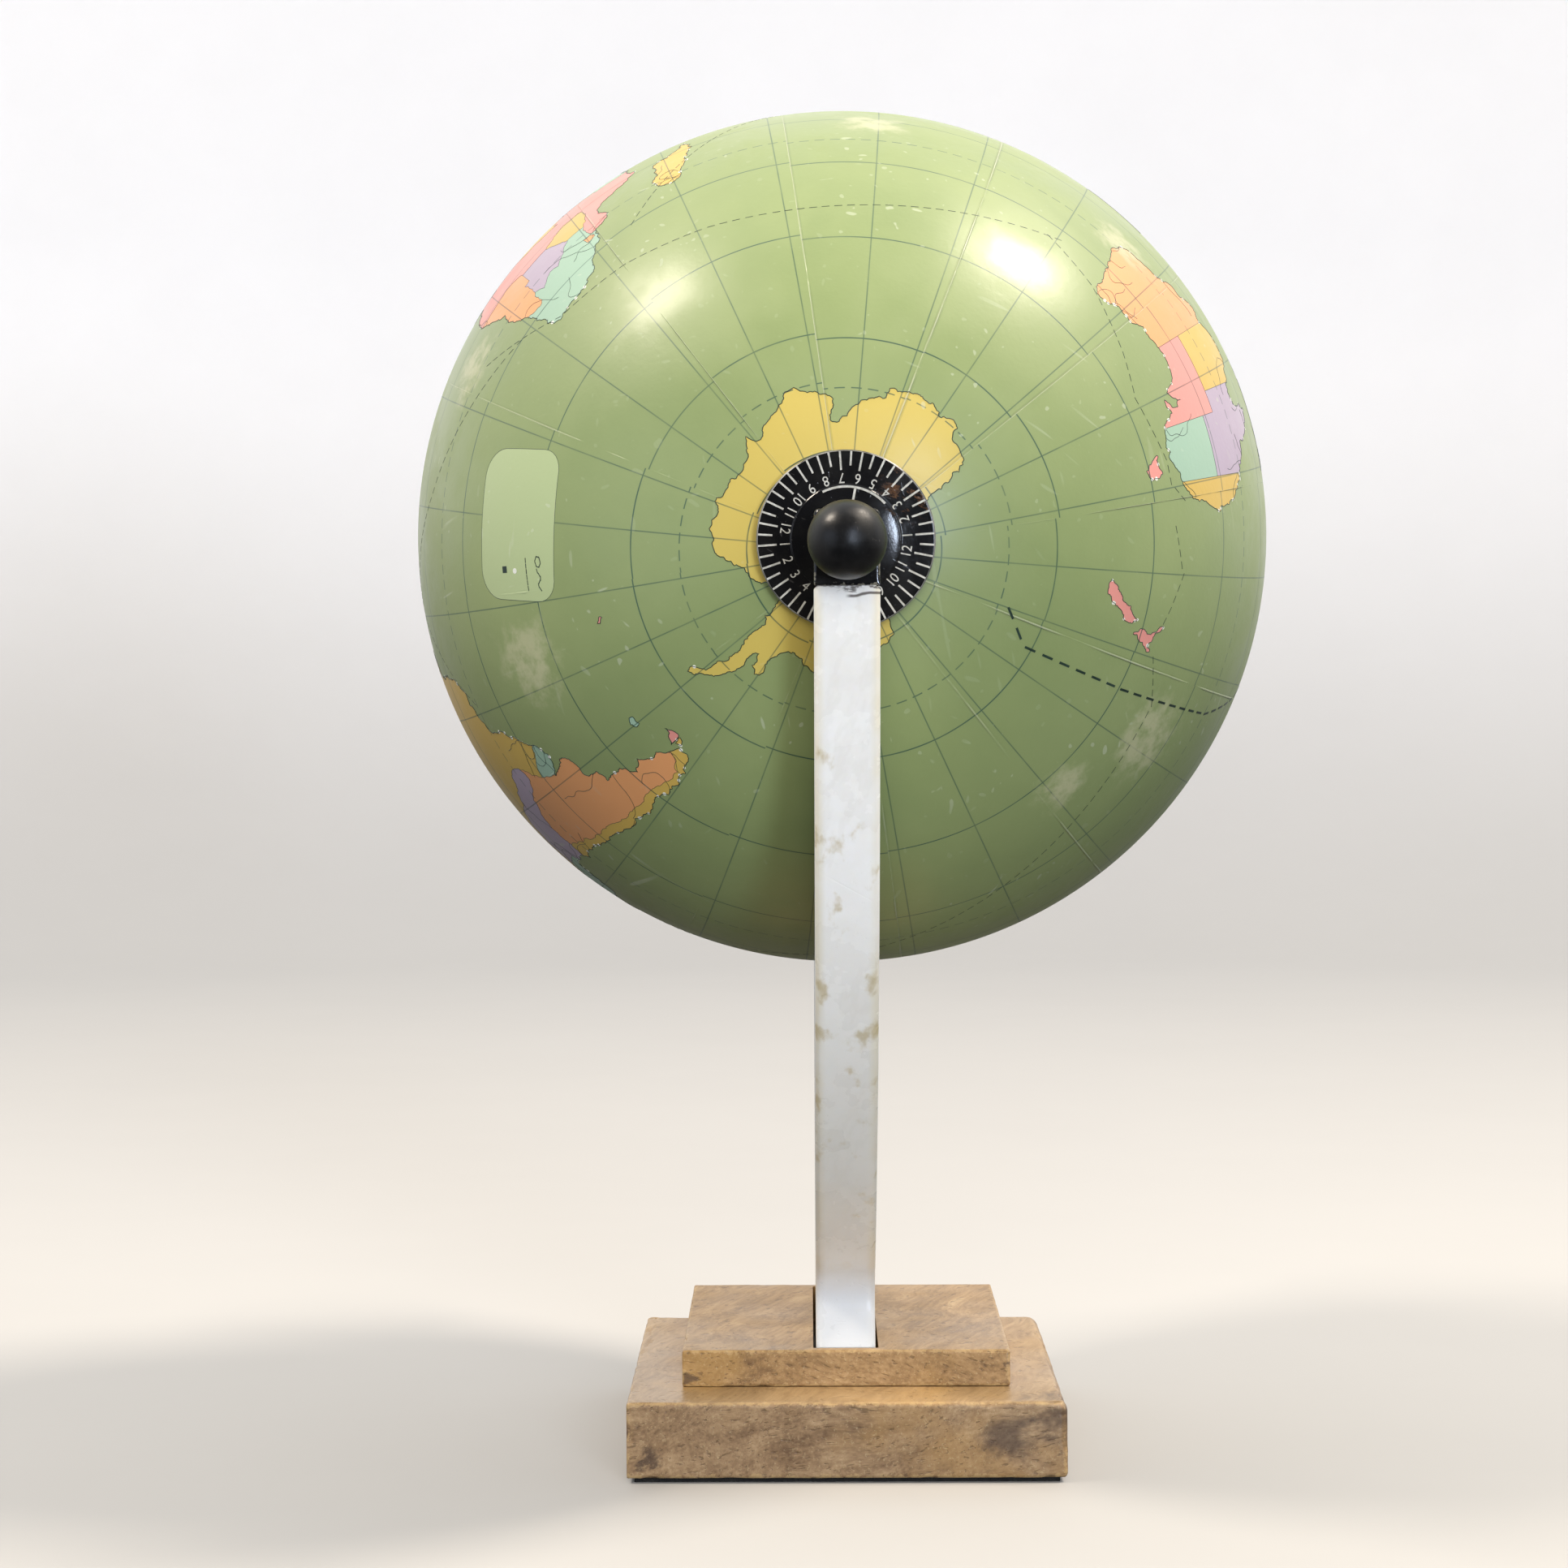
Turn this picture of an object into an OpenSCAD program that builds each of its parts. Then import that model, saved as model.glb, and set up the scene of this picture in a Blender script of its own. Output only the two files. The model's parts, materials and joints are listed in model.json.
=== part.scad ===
// Desktop globe in a stone cradle on a two-tier wooden base.
//
// The globe is a hollow ball of two half shells. It turns on a steel rod that runs from pole to
// pole, and the rod is held by ball knobs in two black blocks on the tips of a white stone
// crescent. The crescent's foot stands in a slot of the wooden base.
//
// Frame: +Z up, X across the stone slab, the south pole towards -Y. The origin is on the table,
// under the globe's centre.

/* [Globe] */
// Outer diameter of the globe
globe_d = 177; // [150:1:200]
// Height of the globe's centre over the table
globe_centre_h = 187.4; // [182:0.1:200]
// Wall of the two half shells
shell_wall = 1.6; // [1.2:0.1:2.5]
// How far the south end of the axis hangs below level, in degrees
axis_tilt = 2.2; // [0:0.1:5]
// Width of the paper tape over the seam of the shells
tape_w = 4; // [3:0.5:8]
// Thickness of that tape
tape_t = 0.15; // [0.1:0.05:0.3]
// Width of the ring that joins the shells inside
collar_w = 14; // [8:1:24]
// Wall of that ring
collar_t = 1.4; // [1:0.1:3]
// Barrel diameter of the bushes in the poles
bush_d = 9; // [8:0.5:12]
// Flange diameter of the bushes
bush_flange_d = 17; // [14:0.5:24]
// Length of the bushes along the axis
bush_l = 9; // [6:0.5:14]
// Thickness of the flange of the bushes at the rod
bush_flange_t = 2.4; // [1.5:0.1:4]

/* [Stone cradle] */
// Thickness of the stone slab
slab_t = 12; // [9:0.5:16]
// Free space between the globe and the inner edge of the crescent
globe_gap = 6; // [5:0.5:9]
// Depth of the crescent's tips along the axis
tip_depth = 10; // [8:0.5:14]
// Radius of the long curve down the outer edge
outer_curve_r = 218; // [200:1:300]
// Half length of the narrowest place over the foot
ankle_half = 29; // [24:0.5:33]
// Height of the narrowest place over the wooden base
ankle_h = 11.4; // [8:0.2:16]
// Radius of the hollow sweep from there to the foot
foot_sweep_r = 22; // [16:1:60]
// Length of the foot in its slot
foot_l = 68; // [67:0.5:70]
// Chamfer along the edges of the slab
slab_chamfer = 0.9; // [0.4:0.1:1.5]

/* [Tip blocks] */
// Height of the black block over the axis
block_up = 5.6; // [4.5:0.1:8]
// Depth of the black block below the axis
block_down = 8.2; // [7:0.1:10]
// Rounding of the block's top edges
block_round = 1.5; // [0.5:0.1:2.5]
// Diameter of the pin between block and stone
pin_d = 3; // [2:0.5:4]
// Length of that pin in the block
pin_in_block = 4.2; // [3:0.1:4.4]
// Length of that pin in the stone
pin_in_stone = 9; // [6:0.5:14]

/* [Axle and knobs] */
// Diameter of the rod
axle_d = 4; // [3:0.1:4.5]
// Chamfer on the rod's ends
axle_chamfer = 0.4; // [0.2:0.1:0.8]
// How deep the rod runs into each knob
axle_in_knob = 7.4; // [6:0.1:8]
// Diameter of the ball knobs
knob_d = 14.3; // [13:0.1:18]
// Diameter of the knobs' flat seat
knob_seat_d = 7.2; // [6.8:0.1:8]
// Outer diameter of the brass inserts in the knobs
insert_d = 6.2; // [5.6:0.1:6.5]
// Length of the inserts
insert_l = 8; // [6:0.5:9]
// Diameter of the thrust washers
washer_d = 9; // [7:0.5:11]
// Thickness of the thrust washers
washer_t = 1; // [0.5:0.1:1.5]

/* [Hour dial] */
// Diameter of the dial
dial_d = 33; // [28:0.5:38]
// Thickness of the numbered rim
dial_t = 1.1; // [0.8:0.1:1.6]
// Diameter of the raised middle
dial_step_d = 19.6; // [16:0.2:22]
// How far the middle is raised
dial_step_h = 0.6; // [0.3:0.1:1]
// Diameter of the hub
hub_d = 10; // [8.5:0.5:12]
// Diameter of the plain collar at the other pole
spacer_d = 20; // [14:0.5:26]

/* [Wooden base] */
// Width of the lower tier
plinth_w = 87; // [84:0.5:110]
// Depth of the lower tier
plinth_l = 91.5; // [88:0.5:120]
// Thickness of the lower tier
plinth_t = 15; // [13:0.5:20]
// How far the lower tier is set towards the south pole
plinth_offset = 6.3; // [0:0.1:7]
// Width of the upper tier
step_w = 66; // [62:0.5:70]
// Depth of the upper tier
step_l = 74; // [73:0.5:78]
// Thickness of the upper tier
step_t = 7.4; // [6:0.2:10]
// Rounding of the lower tier's top edges
plinth_round = 1.6; // [0.5:0.1:3]
// Rounding of the upper tier's top edges
step_round = 0.6; // [0.3:0.1:2]
// Thickness of the felt
felt_t = 1; // [0.6:0.1:2]
// How far the felt stays inside the wood
felt_inset = 1.5; // [1:0.5:4]

/* [Fasteners] */
// Diameter of the studs that hold the stone foot
stud_d = 5; // [4:0.5:6]
// Distance between the two studs
stud_spacing = 38; // [30:1:44]
// Length of the studs in the stone
stud_in_stone = 15; // [10:1:20]
// Diameter of the nuts' washers
stud_washer_d = 11; // [10:0.5:12]
// Thickness of the nuts' washers
stud_washer_t = 1; // [0.8:0.1:1.5]
// Width of the nuts across flats
nut_af = 8; // [7.5:0.5:9]
// Height of the nuts
nut_h = 4; // [3:0.2:5]
// Diameter of the recess for a nut
recess_d = 13; // [12.5:0.5:15]
// Depth of the recess for a nut
recess_h = 6.5; // [6:0.1:8]
// Shank diameter of the wood screws
screw_d = 3.4; // [2.5:0.1:4]
// Head diameter of the wood screws
screw_head_d = 6.8; // [6:0.1:8]
// Length of the wood screws
screw_l = 19; // [17:0.5:20]
// Distance of the screws from the upper tier's edges
screw_inset = 9; // [7:0.5:12]

/* [Fits] */
// Radial clearance of a part that turns on the rod
running_fit = 0.05; // [0.02:0.01:0.1]
// Clearance of parts that are glued or pressed together
seat_fit = 0.05; // [0.02:0.01:0.1]
// Free space between faces that turn past each other
turning_gap = 0.3; // [0.2:0.05:0.5]
// Gap around the stone foot in its slot
slot_gap = 0.6; // [0.3:0.1:1]

/* [Hidden] */
$fn = 96;

south = 1;
north = -1;
past = 1; // how far a cutting shape runs past the face that it opens

globe_r = globe_d / 2;
shell_inner_r = globe_r - shell_wall;
axle_r = axle_d / 2;
running_bore_r = axle_r + running_fit;
seated_bore_r = axle_r + seat_fit;

inner_curve_r = globe_r + globe_gap;
tip_reach = inner_curve_r + tip_depth; // from the globe's centre to the outer face of a tip

// Heights over the table
plinth_z = felt_t;
step_z = plinth_z + plinth_t;
base_top = step_z + step_t;
ankle_z = base_top + ankle_h;

// Places along the axis, from the globe's centre
bush_face = globe_r + seat_fit;
dial_back = bush_face + turning_gap;
washer_back = inner_curve_r - seat_fit - washer_t;
hub_face = washer_back - turning_gap;

// The ball knobs sit on the blocks with their flat
knob_r = knob_d / 2;
knob_offset = sqrt(pow(knob_r, 2) - pow(knob_seat_d / 2, 2));
knob_centre = tip_reach + knob_offset;
axle_half = tip_reach + axle_in_knob;

slot_l = foot_l + 2 * slot_gap;
slot_w = slab_t + 2 * slot_gap;

// ---------------------------------------------------------------- helpers

function turned(p, a) = [p[0] * cos(a) - p[1] * sin(a), p[0] * sin(a) + p[1] * cos(a)];

// Centre of the circle of radius r through a and b, to the left of the way from a to b
function arc_centre(a, b, r) =
    let (way = b - a, half = norm(way) / 2)
    (a + b) / 2 + sqrt(r * r - half * half) * [-way[1], way[0]] / norm(way);

// Points of the short arc from a to b round centre c, without b
function arc(c, a, b, steps) =
    let (
        start = atan2(a[1] - c[1], a[0] - c[0]),
        end = atan2(b[1] - c[1], b[0] - c[0]),
        raw = end - start,
        sweep = raw > 180 ? raw - 360 : raw < -180 ? raw + 360 : raw
    )
    [for (i = [0:steps - 1]) c + norm(a - c) * [
        cos(start + sweep * i / steps), sin(start + sweep * i / steps)]];

// A closed outline moved inwards by d, for an outline that runs anticlockwise
function inset(outline, d) =
    let (n = len(outline))
    [for (i = [0:n - 1])
        let (
            before = outline[i] - outline[(i + n - 1) % n],
            after = outline[(i + 1) % n] - outline[i],
            n1 = [-before[1], before[0]] / norm(before),
            n2 = [-after[1], after[0]] / norm(after)
        )
        outline[i] + d * (n1 + n2) / (1 + n1 * n2)];

// Stands children, drawn with their axis along +Z, on the globe's axis. They point to one pole.
module on_axis(side) {
    translate([0, 0, globe_centre_h])
        rotate([axis_tilt + side * 90, 0, 0]) children();
}

// The frame of the crescent: its origin in the globe's centre, leaning with the axis
module on_crescent() {
    translate([0, 0, globe_centre_h]) rotate([axis_tilt, 0, 0]) children();
}

module at_screws() {
    for (x = [-1, 1], y = [-1, 1])
        translate([x * (step_w / 2 - screw_inset), y * (step_l / 2 - screw_inset), 0]) children();
}

module at_studs() {
    for (y = [-1, 1]) translate([0, y * stud_spacing / 2, 0]) children();
}

// A block with rounded upright corners and a rounded top edge, standing on z = 0
module soft_block(w, l, h, r) {
    hull()
        for (x = [-1, 1], y = [-1, 1])
            translate([x * (w / 2 - r), y * (l / 2 - r), 0]) {
                cylinder(r = r, h = h - r, $fn = 32);
                translate([0, 0, h - r]) sphere(r = r, $fn = 32);
            }
}

// ---------------------------------------------------------------- wooden base

module base_felt() {
    color("black")
        translate([-plinth_w / 2 + felt_inset, -plinth_l / 2 - plinth_offset + felt_inset, 0])
            cube([plinth_w - 2 * felt_inset, plinth_l - 2 * felt_inset, felt_t]);
}

module base_plinth() {
    color("peru")
        difference() {
            translate([0, -plinth_offset, plinth_z])
                soft_block(plinth_w, plinth_l, plinth_t, plinth_round);
            at_studs() {
                cylinder(d = stud_d + 2 * seat_fit, h = step_z + past);
                translate([0, 0, plinth_z - past]) cylinder(d = recess_d, h = recess_h + past);
            }
            at_screws() screw_space();
        }
}

// What a wood screw needs, from the felt up to its tip
module screw_space() {
    translate([0, 0, plinth_z - past])
        cylinder(d = screw_head_d + 2 * seat_fit, h = past);
    screw_body(seat_fit);
}

module screw_body(grow) {
    head_h = (screw_head_d - screw_d) / 2;
    translate([0, 0, plinth_z]) {
        cylinder(r1 = screw_head_d / 2 + grow, r2 = screw_d / 2 + grow, h = head_h);
        cylinder(d = screw_d + 2 * grow, h = screw_l + grow);
    }
}

module base_step() {
    color("peru")
        difference() {
            translate([0, 0, step_z]) soft_block(step_w, step_l, step_t, step_round);
            translate([-slot_w / 2, -slot_l / 2, step_z - past])
                cube([slot_w, slot_l, step_t + 2 * past]);
            at_screws() screw_body(seat_fit);
        }
}

module step_screws() {
    color("silver") at_screws() screw_body(0);
}

module foot_studs() {
    bottom = plinth_z + recess_h - stud_washer_t - nut_h - axle_chamfer;
    color("silver")
        at_studs() translate([0, 0, bottom])
            cylinder(d = stud_d, h = step_z + stud_in_stone - bottom);
}

module foot_washers() {
    color("silver")
        at_studs() translate([0, 0, plinth_z + recess_h - stud_washer_t])
            difference() {
                cylinder(d = stud_washer_d, h = stud_washer_t);
                translate([0, 0, -past])
                    cylinder(d = stud_d + 2 * seat_fit, h = stud_washer_t + 2 * past);
            }
}

module foot_nuts() {
    color("silver")
        at_studs() translate([0, 0, plinth_z + recess_h - stud_washer_t - nut_h])
            difference() {
                cylinder(d = nut_af / cos(30), h = nut_h, $fn = 6);
                translate([0, 0, -past])
                    cylinder(d = stud_d + 2 * seat_fit, h = nut_h + 2 * past);
            }
}

// ---------------------------------------------------------------- stone cradle

// The crescent's outline in the plane of the slab, anticlockwise seen from +X. Its round inner
// edge follows the globe, and one long curve runs down each side to the ankle over the foot.
function cradle_outline() =
    let (
        low = -globe_centre_h,
        inner_in = sqrt(pow(inner_curve_r, 2) - pow(block_down, 2)),
        tip_in_s = turned([-inner_in, -block_down], axis_tilt),
        tip_in_n = turned([inner_in, -block_down], axis_tilt),
        tip_out_s = turned([-tip_reach, -block_down], axis_tilt),
        tip_out_n = turned([tip_reach, -block_down], axis_tilt),
        ankle_s = [-ankle_half, low + ankle_z],
        ankle_n = [ankle_half, low + ankle_z],
        foot_s = [-foot_l / 2, low + base_top],
        foot_n = [foot_l / 2, low + base_top],
        crotch = [0, -inner_curve_r]
    )
    concat(
        arc(arc_centre(ankle_n, tip_out_n, outer_curve_r), ankle_n, tip_out_n, 36),
        [tip_out_n],
        arc([0, 0], tip_in_n, crotch, 40),
        arc([0, 0], crotch, tip_in_s, 40),
        [tip_in_s],
        arc(arc_centre(tip_out_s, ankle_s, outer_curve_r), tip_out_s, ankle_s, 36),
        arc(arc_centre(foot_s, ankle_s, foot_sweep_r), ankle_s, foot_s, 8),
        [foot_s, [-foot_l / 2, low + step_z], [foot_l / 2, low + step_z]],
        arc(arc_centre(ankle_n, foot_n, foot_sweep_r), foot_n, ankle_n, 8)
    );

// A flat slab of an outline in the YZ plane, with both faces chamfered all round
module chamfered_slab(outline, t, c) {
    n = len(outline);
    small = inset(outline, c);
    rings = [[-t / 2, small], [-t / 2 + c, outline], [t / 2 - c, outline], [t / 2, small]];
    points = [for (ring = rings, p = ring[1]) [ring[0], p[0], p[1]]];
    sides = [for (k = [0:2], i = [0:n - 1])
        [k * n + i, (k + 1) * n + i, (k + 1) * n + (i + 1) % n, k * n + (i + 1) % n]];
    polyhedron(
        points = points,
        faces = concat([[for (i = [0:n - 1]) i]], [[for (i = [n - 1:-1:0]) 3 * n + i]], sides),
        convexity = 6
    );
}

module cradle() {
    color("ivory")
        difference() {
            translate([0, 0, globe_centre_h])
                chamfered_slab(cradle_outline(), slab_t, slab_chamfer);
            at_studs() translate([0, 0, step_z - past])
                cylinder(d = stud_d + 2 * seat_fit, h = stud_in_stone + seat_fit + past);
            for (side = [south, north]) tip_pin_space(side, seat_fit);
        }
}

// ---------------------------------------------------------------- tip blocks

tip_mid = tip_reach - tip_depth / 2;

// Upright pin at the middle of a tip, from the block down into the stone
module tip_pin_space(side, grow) {
    on_crescent()
        translate([0, -side * tip_mid, -block_down - pin_in_stone - grow])
            cylinder(d = pin_d + 2 * grow, h = pin_in_stone + pin_in_block + 2 * grow);
}

module block_side_profile() {
    translate([-tip_depth / 2, -block_down])
        square([tip_depth, block_down + block_up - block_round]);
    translate([-tip_depth / 2 + block_round, -block_down])
        square([tip_depth - 2 * block_round, block_down + block_up]);
    for (x = [-1, 1])
        translate([x * (tip_depth / 2 - block_round), block_up - block_round])
            circle(r = block_round);
}

module block_plan_profile() {
    w = slab_t / 2;
    d = tip_depth / 2;
    c = slab_chamfer;
    polygon([[-w, -d + c], [-w + c, -d], [w - c, -d], [w, -d + c],
        [w, d - c], [w - c, d], [-w + c, d], [-w, d - c]]);
}

module tip_block(side) {
    color("dimgray")
        difference() {
            on_crescent() translate([0, -side * tip_mid, 0])
                intersection() {
                    rotate([90, 0, 90])
                        translate([0, 0, -slab_t / 2]) linear_extrude(slab_t) block_side_profile();
                    translate([0, 0, -block_down])
                        linear_extrude(block_down + block_up) block_plan_profile();
                }
            on_axis(side) translate([0, 0, inner_curve_r - past])
                cylinder(r = seated_bore_r, h = tip_depth + 2 * past);
            tip_pin_space(side, seat_fit);
        }
}

module tip_block_south() { tip_block(south); }
module tip_block_north() { tip_block(north); }

module tip_pin_south() { color("silver") tip_pin_space(south, 0); }
module tip_pin_north() { color("silver") tip_pin_space(north, 0); }

// ---------------------------------------------------------------- axle and knobs

module axle() {
    color("silver")
        on_axis(south) rotate_extrude()
            polygon([[0, -axle_half], [axle_r - axle_chamfer, -axle_half],
                [axle_r, -axle_half + axle_chamfer], [axle_r, axle_half - axle_chamfer],
                [axle_r - axle_chamfer, axle_half], [0, axle_half]]);
}

module knob(side) {
    color("black")
        on_axis(side)
            difference() {
                translate([0, 0, knob_centre]) sphere(r = knob_r);
                translate([-knob_r, -knob_r, tip_reach - knob_r])
                    cube([knob_d, knob_d, knob_r]);
                translate([0, 0, tip_reach - past])
                    cylinder(d = insert_d + 2 * seat_fit, h = insert_l + seat_fit + past);
            }
}

module knob_south() { knob(south); }
module knob_north() { knob(north); }

module knob_insert(side) {
    color("gold")
        on_axis(side) translate([0, 0, tip_reach])
            difference() {
                cylinder(d = insert_d, h = insert_l);
                translate([0, 0, -past]) cylinder(r = seated_bore_r, h = insert_l + 2 * past);
            }
}

module knob_insert_south() { knob_insert(south); }
module knob_insert_north() { knob_insert(north); }

module thrust_washer(side) {
    color("whitesmoke")
        on_axis(side) translate([0, 0, washer_back])
            difference() {
                cylinder(d = washer_d, h = washer_t);
                translate([0, 0, -past]) cylinder(r = seated_bore_r, h = washer_t + 2 * past);
            }
}

module thrust_washer_south() { thrust_washer(south); }
module thrust_washer_north() { thrust_washer(north); }

// ---------------------------------------------------------------- hour dial and spacer

// The dial is a thin disc with a raised middle and a hub, all turned about the rod.
module hour_dial() {
    r = dial_d / 2;
    front = dial_back + dial_t;
    edge = dial_t / 4;
    color("black")
        on_axis(south) rotate_extrude()
            polygon([
                [running_bore_r, dial_back], [r - edge, dial_back], [r, dial_back + edge],
                [r, front - edge], [r - edge, front], [dial_step_d / 2, front],
                [dial_step_d / 2 - dial_step_h, front + dial_step_h],
                [hub_d / 2, front + dial_step_h], [hub_d / 2, hub_face],
                [running_bore_r, hub_face]
            ]);
}

module pole_spacer_north() {
    r = spacer_d / 2;
    color("black")
        on_axis(north) rotate_extrude()
            polygon([
                [running_bore_r, bush_face], [bush_d / 2, bush_face], [bush_d / 2, dial_back],
                [r, dial_back], [r, dial_back + dial_t], [hub_d / 2, hub_face - dial_t],
                [hub_d / 2, hub_face], [running_bore_r, hub_face]
            ]);
}

// ---------------------------------------------------------------- globe

module half_shell(side) {
    color("darkseagreen")
        on_axis(side)
            difference() {
                sphere(r = globe_r);
                sphere(r = shell_inner_r);
                translate([-globe_r - past, -globe_r - past, -globe_r - past])
                    cube([globe_d + 2 * past, globe_d + 2 * past, globe_r + past]);
                cylinder(d = bush_d + 2 * seat_fit, h = globe_r + past);
            }
}

module globe_south() { half_shell(south); }
module globe_north() { half_shell(north); }

// A band of a ball between two radii, over the equator
module ball_band(inner_r, outer_r, w) {
    difference() {
        intersection() {
            sphere(r = outer_r);
            translate([-outer_r - past, -outer_r - past, -w / 2])
                cube([2 * (outer_r + past), 2 * (outer_r + past), w]);
        }
        sphere(r = inner_r);
    }
}

module equator_collar() {
    outer_r = shell_inner_r - seat_fit;
    color("tan") on_axis(south) ball_band(outer_r - collar_t, outer_r, collar_w);
}

module equator_tape() {
    color("darkolivegreen") on_axis(south) ball_band(globe_r, globe_r + tape_t, tape_w);
}

// A flanged bush: its flange lies inside the shell and its barrel comes out through the pole
module pole_bush(side) {
    flange_outer_r = shell_inner_r - seat_fit;
    color("tan")
        on_axis(side)
            difference() {
                union() {
                    intersection() {
                        sphere(r = flange_outer_r);
                        translate([0, 0, shell_inner_r - bush_flange_t])
                            cylinder(d = bush_flange_d, h = bush_flange_t);
                    }
                    translate([0, 0, bush_face - bush_l]) cylinder(d = bush_d, h = bush_l);
                }
                translate([0, 0, bush_face - bush_l - past])
                    cylinder(r = running_bore_r, h = bush_l + 2 * past);
            }
}

module pole_bush_south() { pole_bush(south); }
module pole_bush_north() { pole_bush(north); }

// ---------------------------------------------------------------- every node

base_felt();
base_plinth();
base_step();
step_screws();
foot_studs();
foot_washers();
foot_nuts();
cradle();
tip_block_south();
tip_block_north();
tip_pin_south();
tip_pin_north();
axle();
knob_south();
knob_north();
knob_insert_south();
knob_insert_north();
thrust_washer_south();
thrust_washer_north();
hour_dial();
pole_spacer_north();
globe_south();
globe_north();
equator_collar();
equator_tape();
pole_bush_south();
pole_bush_north();
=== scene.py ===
"""Looks of a desktop globe in a stone cradle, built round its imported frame.

The frame gives every place and most sizes. Lengths that the script adds are written in
millimetres and turned into metres with MM. Longitudes and latitudes are in degrees.
"""

from __future__ import annotations

import json
import logging
import random
from dataclasses import dataclass, field
from enum import Enum
from functools import cache, cached_property
from math import acos, asin, atan2, ceil, cos, degrees, pi, radians, sin, sqrt, tan
from typing import Callable, Sequence

import bmesh
import bpy
import numpy as np
from mathutils import Matrix, Vector, geometry, kdtree, noise

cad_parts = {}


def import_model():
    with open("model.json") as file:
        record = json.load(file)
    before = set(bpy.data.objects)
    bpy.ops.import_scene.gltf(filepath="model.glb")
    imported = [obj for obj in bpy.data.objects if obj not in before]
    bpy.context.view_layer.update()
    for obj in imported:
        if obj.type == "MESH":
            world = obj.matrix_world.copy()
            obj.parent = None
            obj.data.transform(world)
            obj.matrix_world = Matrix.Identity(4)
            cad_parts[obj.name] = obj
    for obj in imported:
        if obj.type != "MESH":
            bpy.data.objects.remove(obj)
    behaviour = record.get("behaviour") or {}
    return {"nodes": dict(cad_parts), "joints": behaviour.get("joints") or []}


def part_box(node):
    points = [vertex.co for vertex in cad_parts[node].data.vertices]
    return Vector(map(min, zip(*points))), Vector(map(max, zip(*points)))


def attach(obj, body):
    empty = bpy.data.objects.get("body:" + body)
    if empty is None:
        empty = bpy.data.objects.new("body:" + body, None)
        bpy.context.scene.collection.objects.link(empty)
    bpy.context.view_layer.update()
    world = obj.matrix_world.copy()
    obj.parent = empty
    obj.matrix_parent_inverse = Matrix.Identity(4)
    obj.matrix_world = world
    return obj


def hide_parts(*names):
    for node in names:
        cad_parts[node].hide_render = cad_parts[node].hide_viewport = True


MM = 0.001
TINY = 1e-9
LOG = logging.getLogger("desktop_globe")
SIDES = ((1, "south"), (-1, "north"))

Point = tuple[float, float]
Triple = tuple[float, float, float]
Colour = tuple[float, float, float, float]
Edge = tuple[int, int]
Mark = tuple[Vector, Vector, Vector]
Piece = bpy.types.Object
Mesh = bpy.types.Mesh
Material = bpy.types.Material
Tree = bpy.types.NodeTree


# ---- small helpers


def colour(code: str) -> Colour:
    """Turns a display colour such as "#88aa66" into linear light.

    Args:
        code: Six hexadecimal digits after a hash sign.

    Returns:
        Red, green, blue and an alpha of one.
    """
    parts = [int(code[i : i + 2], 16) / 255 for i in (1, 3, 5)]
    red, green, blue = (p / 12.92 if p <= 0.04045 else ((p + 0.055) / 1.055) ** 2.4 for p in parts)
    return (red, green, blue, 1.0)


def heading(turn: float) -> Vector:
    """The flat direction at an angle in radians."""
    return Vector((cos(turn), sin(turn)))


def mesh_of(name: str, spots: Sequence, edges: Sequence = (), faces: Sequence = ()) -> Mesh:
    """A mesh from plain lists.

    Args:
        name: Its name.
        spots: Places of its vertices.
        edges: Pairs of vertex numbers.
        faces: Runs of vertex numbers.

    Returns:
        The mesh.
    """
    mesh = bpy.data.meshes.new(name)
    mesh.from_pydata(spots, edges, faces)
    return mesh


def settled(shape: bmesh.types.BMesh, name: str, stand: Matrix) -> Mesh:
    """Ends work on a solid: its faces point outwards and it moves to its place.

    Args:
        shape: The solid, which is freed.
        name: Name of the mesh.
        stand: Where its axes lie in the frame.

    Returns:
        The mesh.
    """
    bmesh.ops.recalc_face_normals(shape, faces=shape.faces)
    mesh = bpy.data.meshes.new(name)
    shape.to_mesh(mesh)
    shape.free()
    mesh.transform(stand)
    return mesh


def linked(name: str, thing: bpy.types.ID) -> Piece:
    """Puts a mesh, a lamp, a camera or a text into the scene as an object at the origin.

    Args:
        name: Name of the object.
        thing: Its data.

    Returns:
        The object.
    """
    piece = bpy.data.objects.new(name, thing)
    bpy.context.scene.collection.objects.link(piece)
    return piece


def evaluated(thing: Piece) -> Mesh:
    """The plain mesh of an object with its modifiers applied."""
    bpy.context.view_layer.update()
    return bpy.data.meshes.new_from_object(thing.evaluated_get(bpy.context.evaluated_depsgraph_get()))


def smoothed(mesh: Mesh, sharp_angle: float = 25.0) -> None:
    """Shades a mesh smooth and keeps the edges over an angle in degrees sharp."""
    mesh.shade_smooth()
    mesh.set_sharp_from_angle(angle=radians(sharp_angle))


def placed(piece: Piece, body: str, node: str = "") -> Piece:
    """Hangs a piece on the empty of its body and hides the node that it replaces.

    Args:
        piece: The piece.
        body: The body that carries it.
        node: The node that it replaces, if any.

    Returns:
        The piece.
    """
    if node:
        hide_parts(node)
    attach(piece, body)
    return piece


def dressed(piece: Piece, finish: Material, body: str, node: str = "") -> Piece:
    """Gives a piece its material, then hangs it on its body's empty and hides any node that it replaces."""
    piece.data.materials.append(finish)
    return placed(piece, body, node)


def add_solid(shape: bmesh.types.BMesh, rows: Sequence[Sequence[Vector]]) -> None:
    """Adds a closed solid to a mesh.

    Args:
        shape: The mesh.
        rows: Closed rings of points from one end to the other, all of one count.
    """
    rings = [[shape.verts.new(spot) for spot in row] for row in rows]
    for low, high in zip(rings, rings[1:]):
        for i in range(len(low)):
            shape.faces.new((low[i - 1], low[i], high[i], high[i - 1]))
    shape.faces.new(rings[0])
    shape.faces.new(rings[-1])


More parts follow.
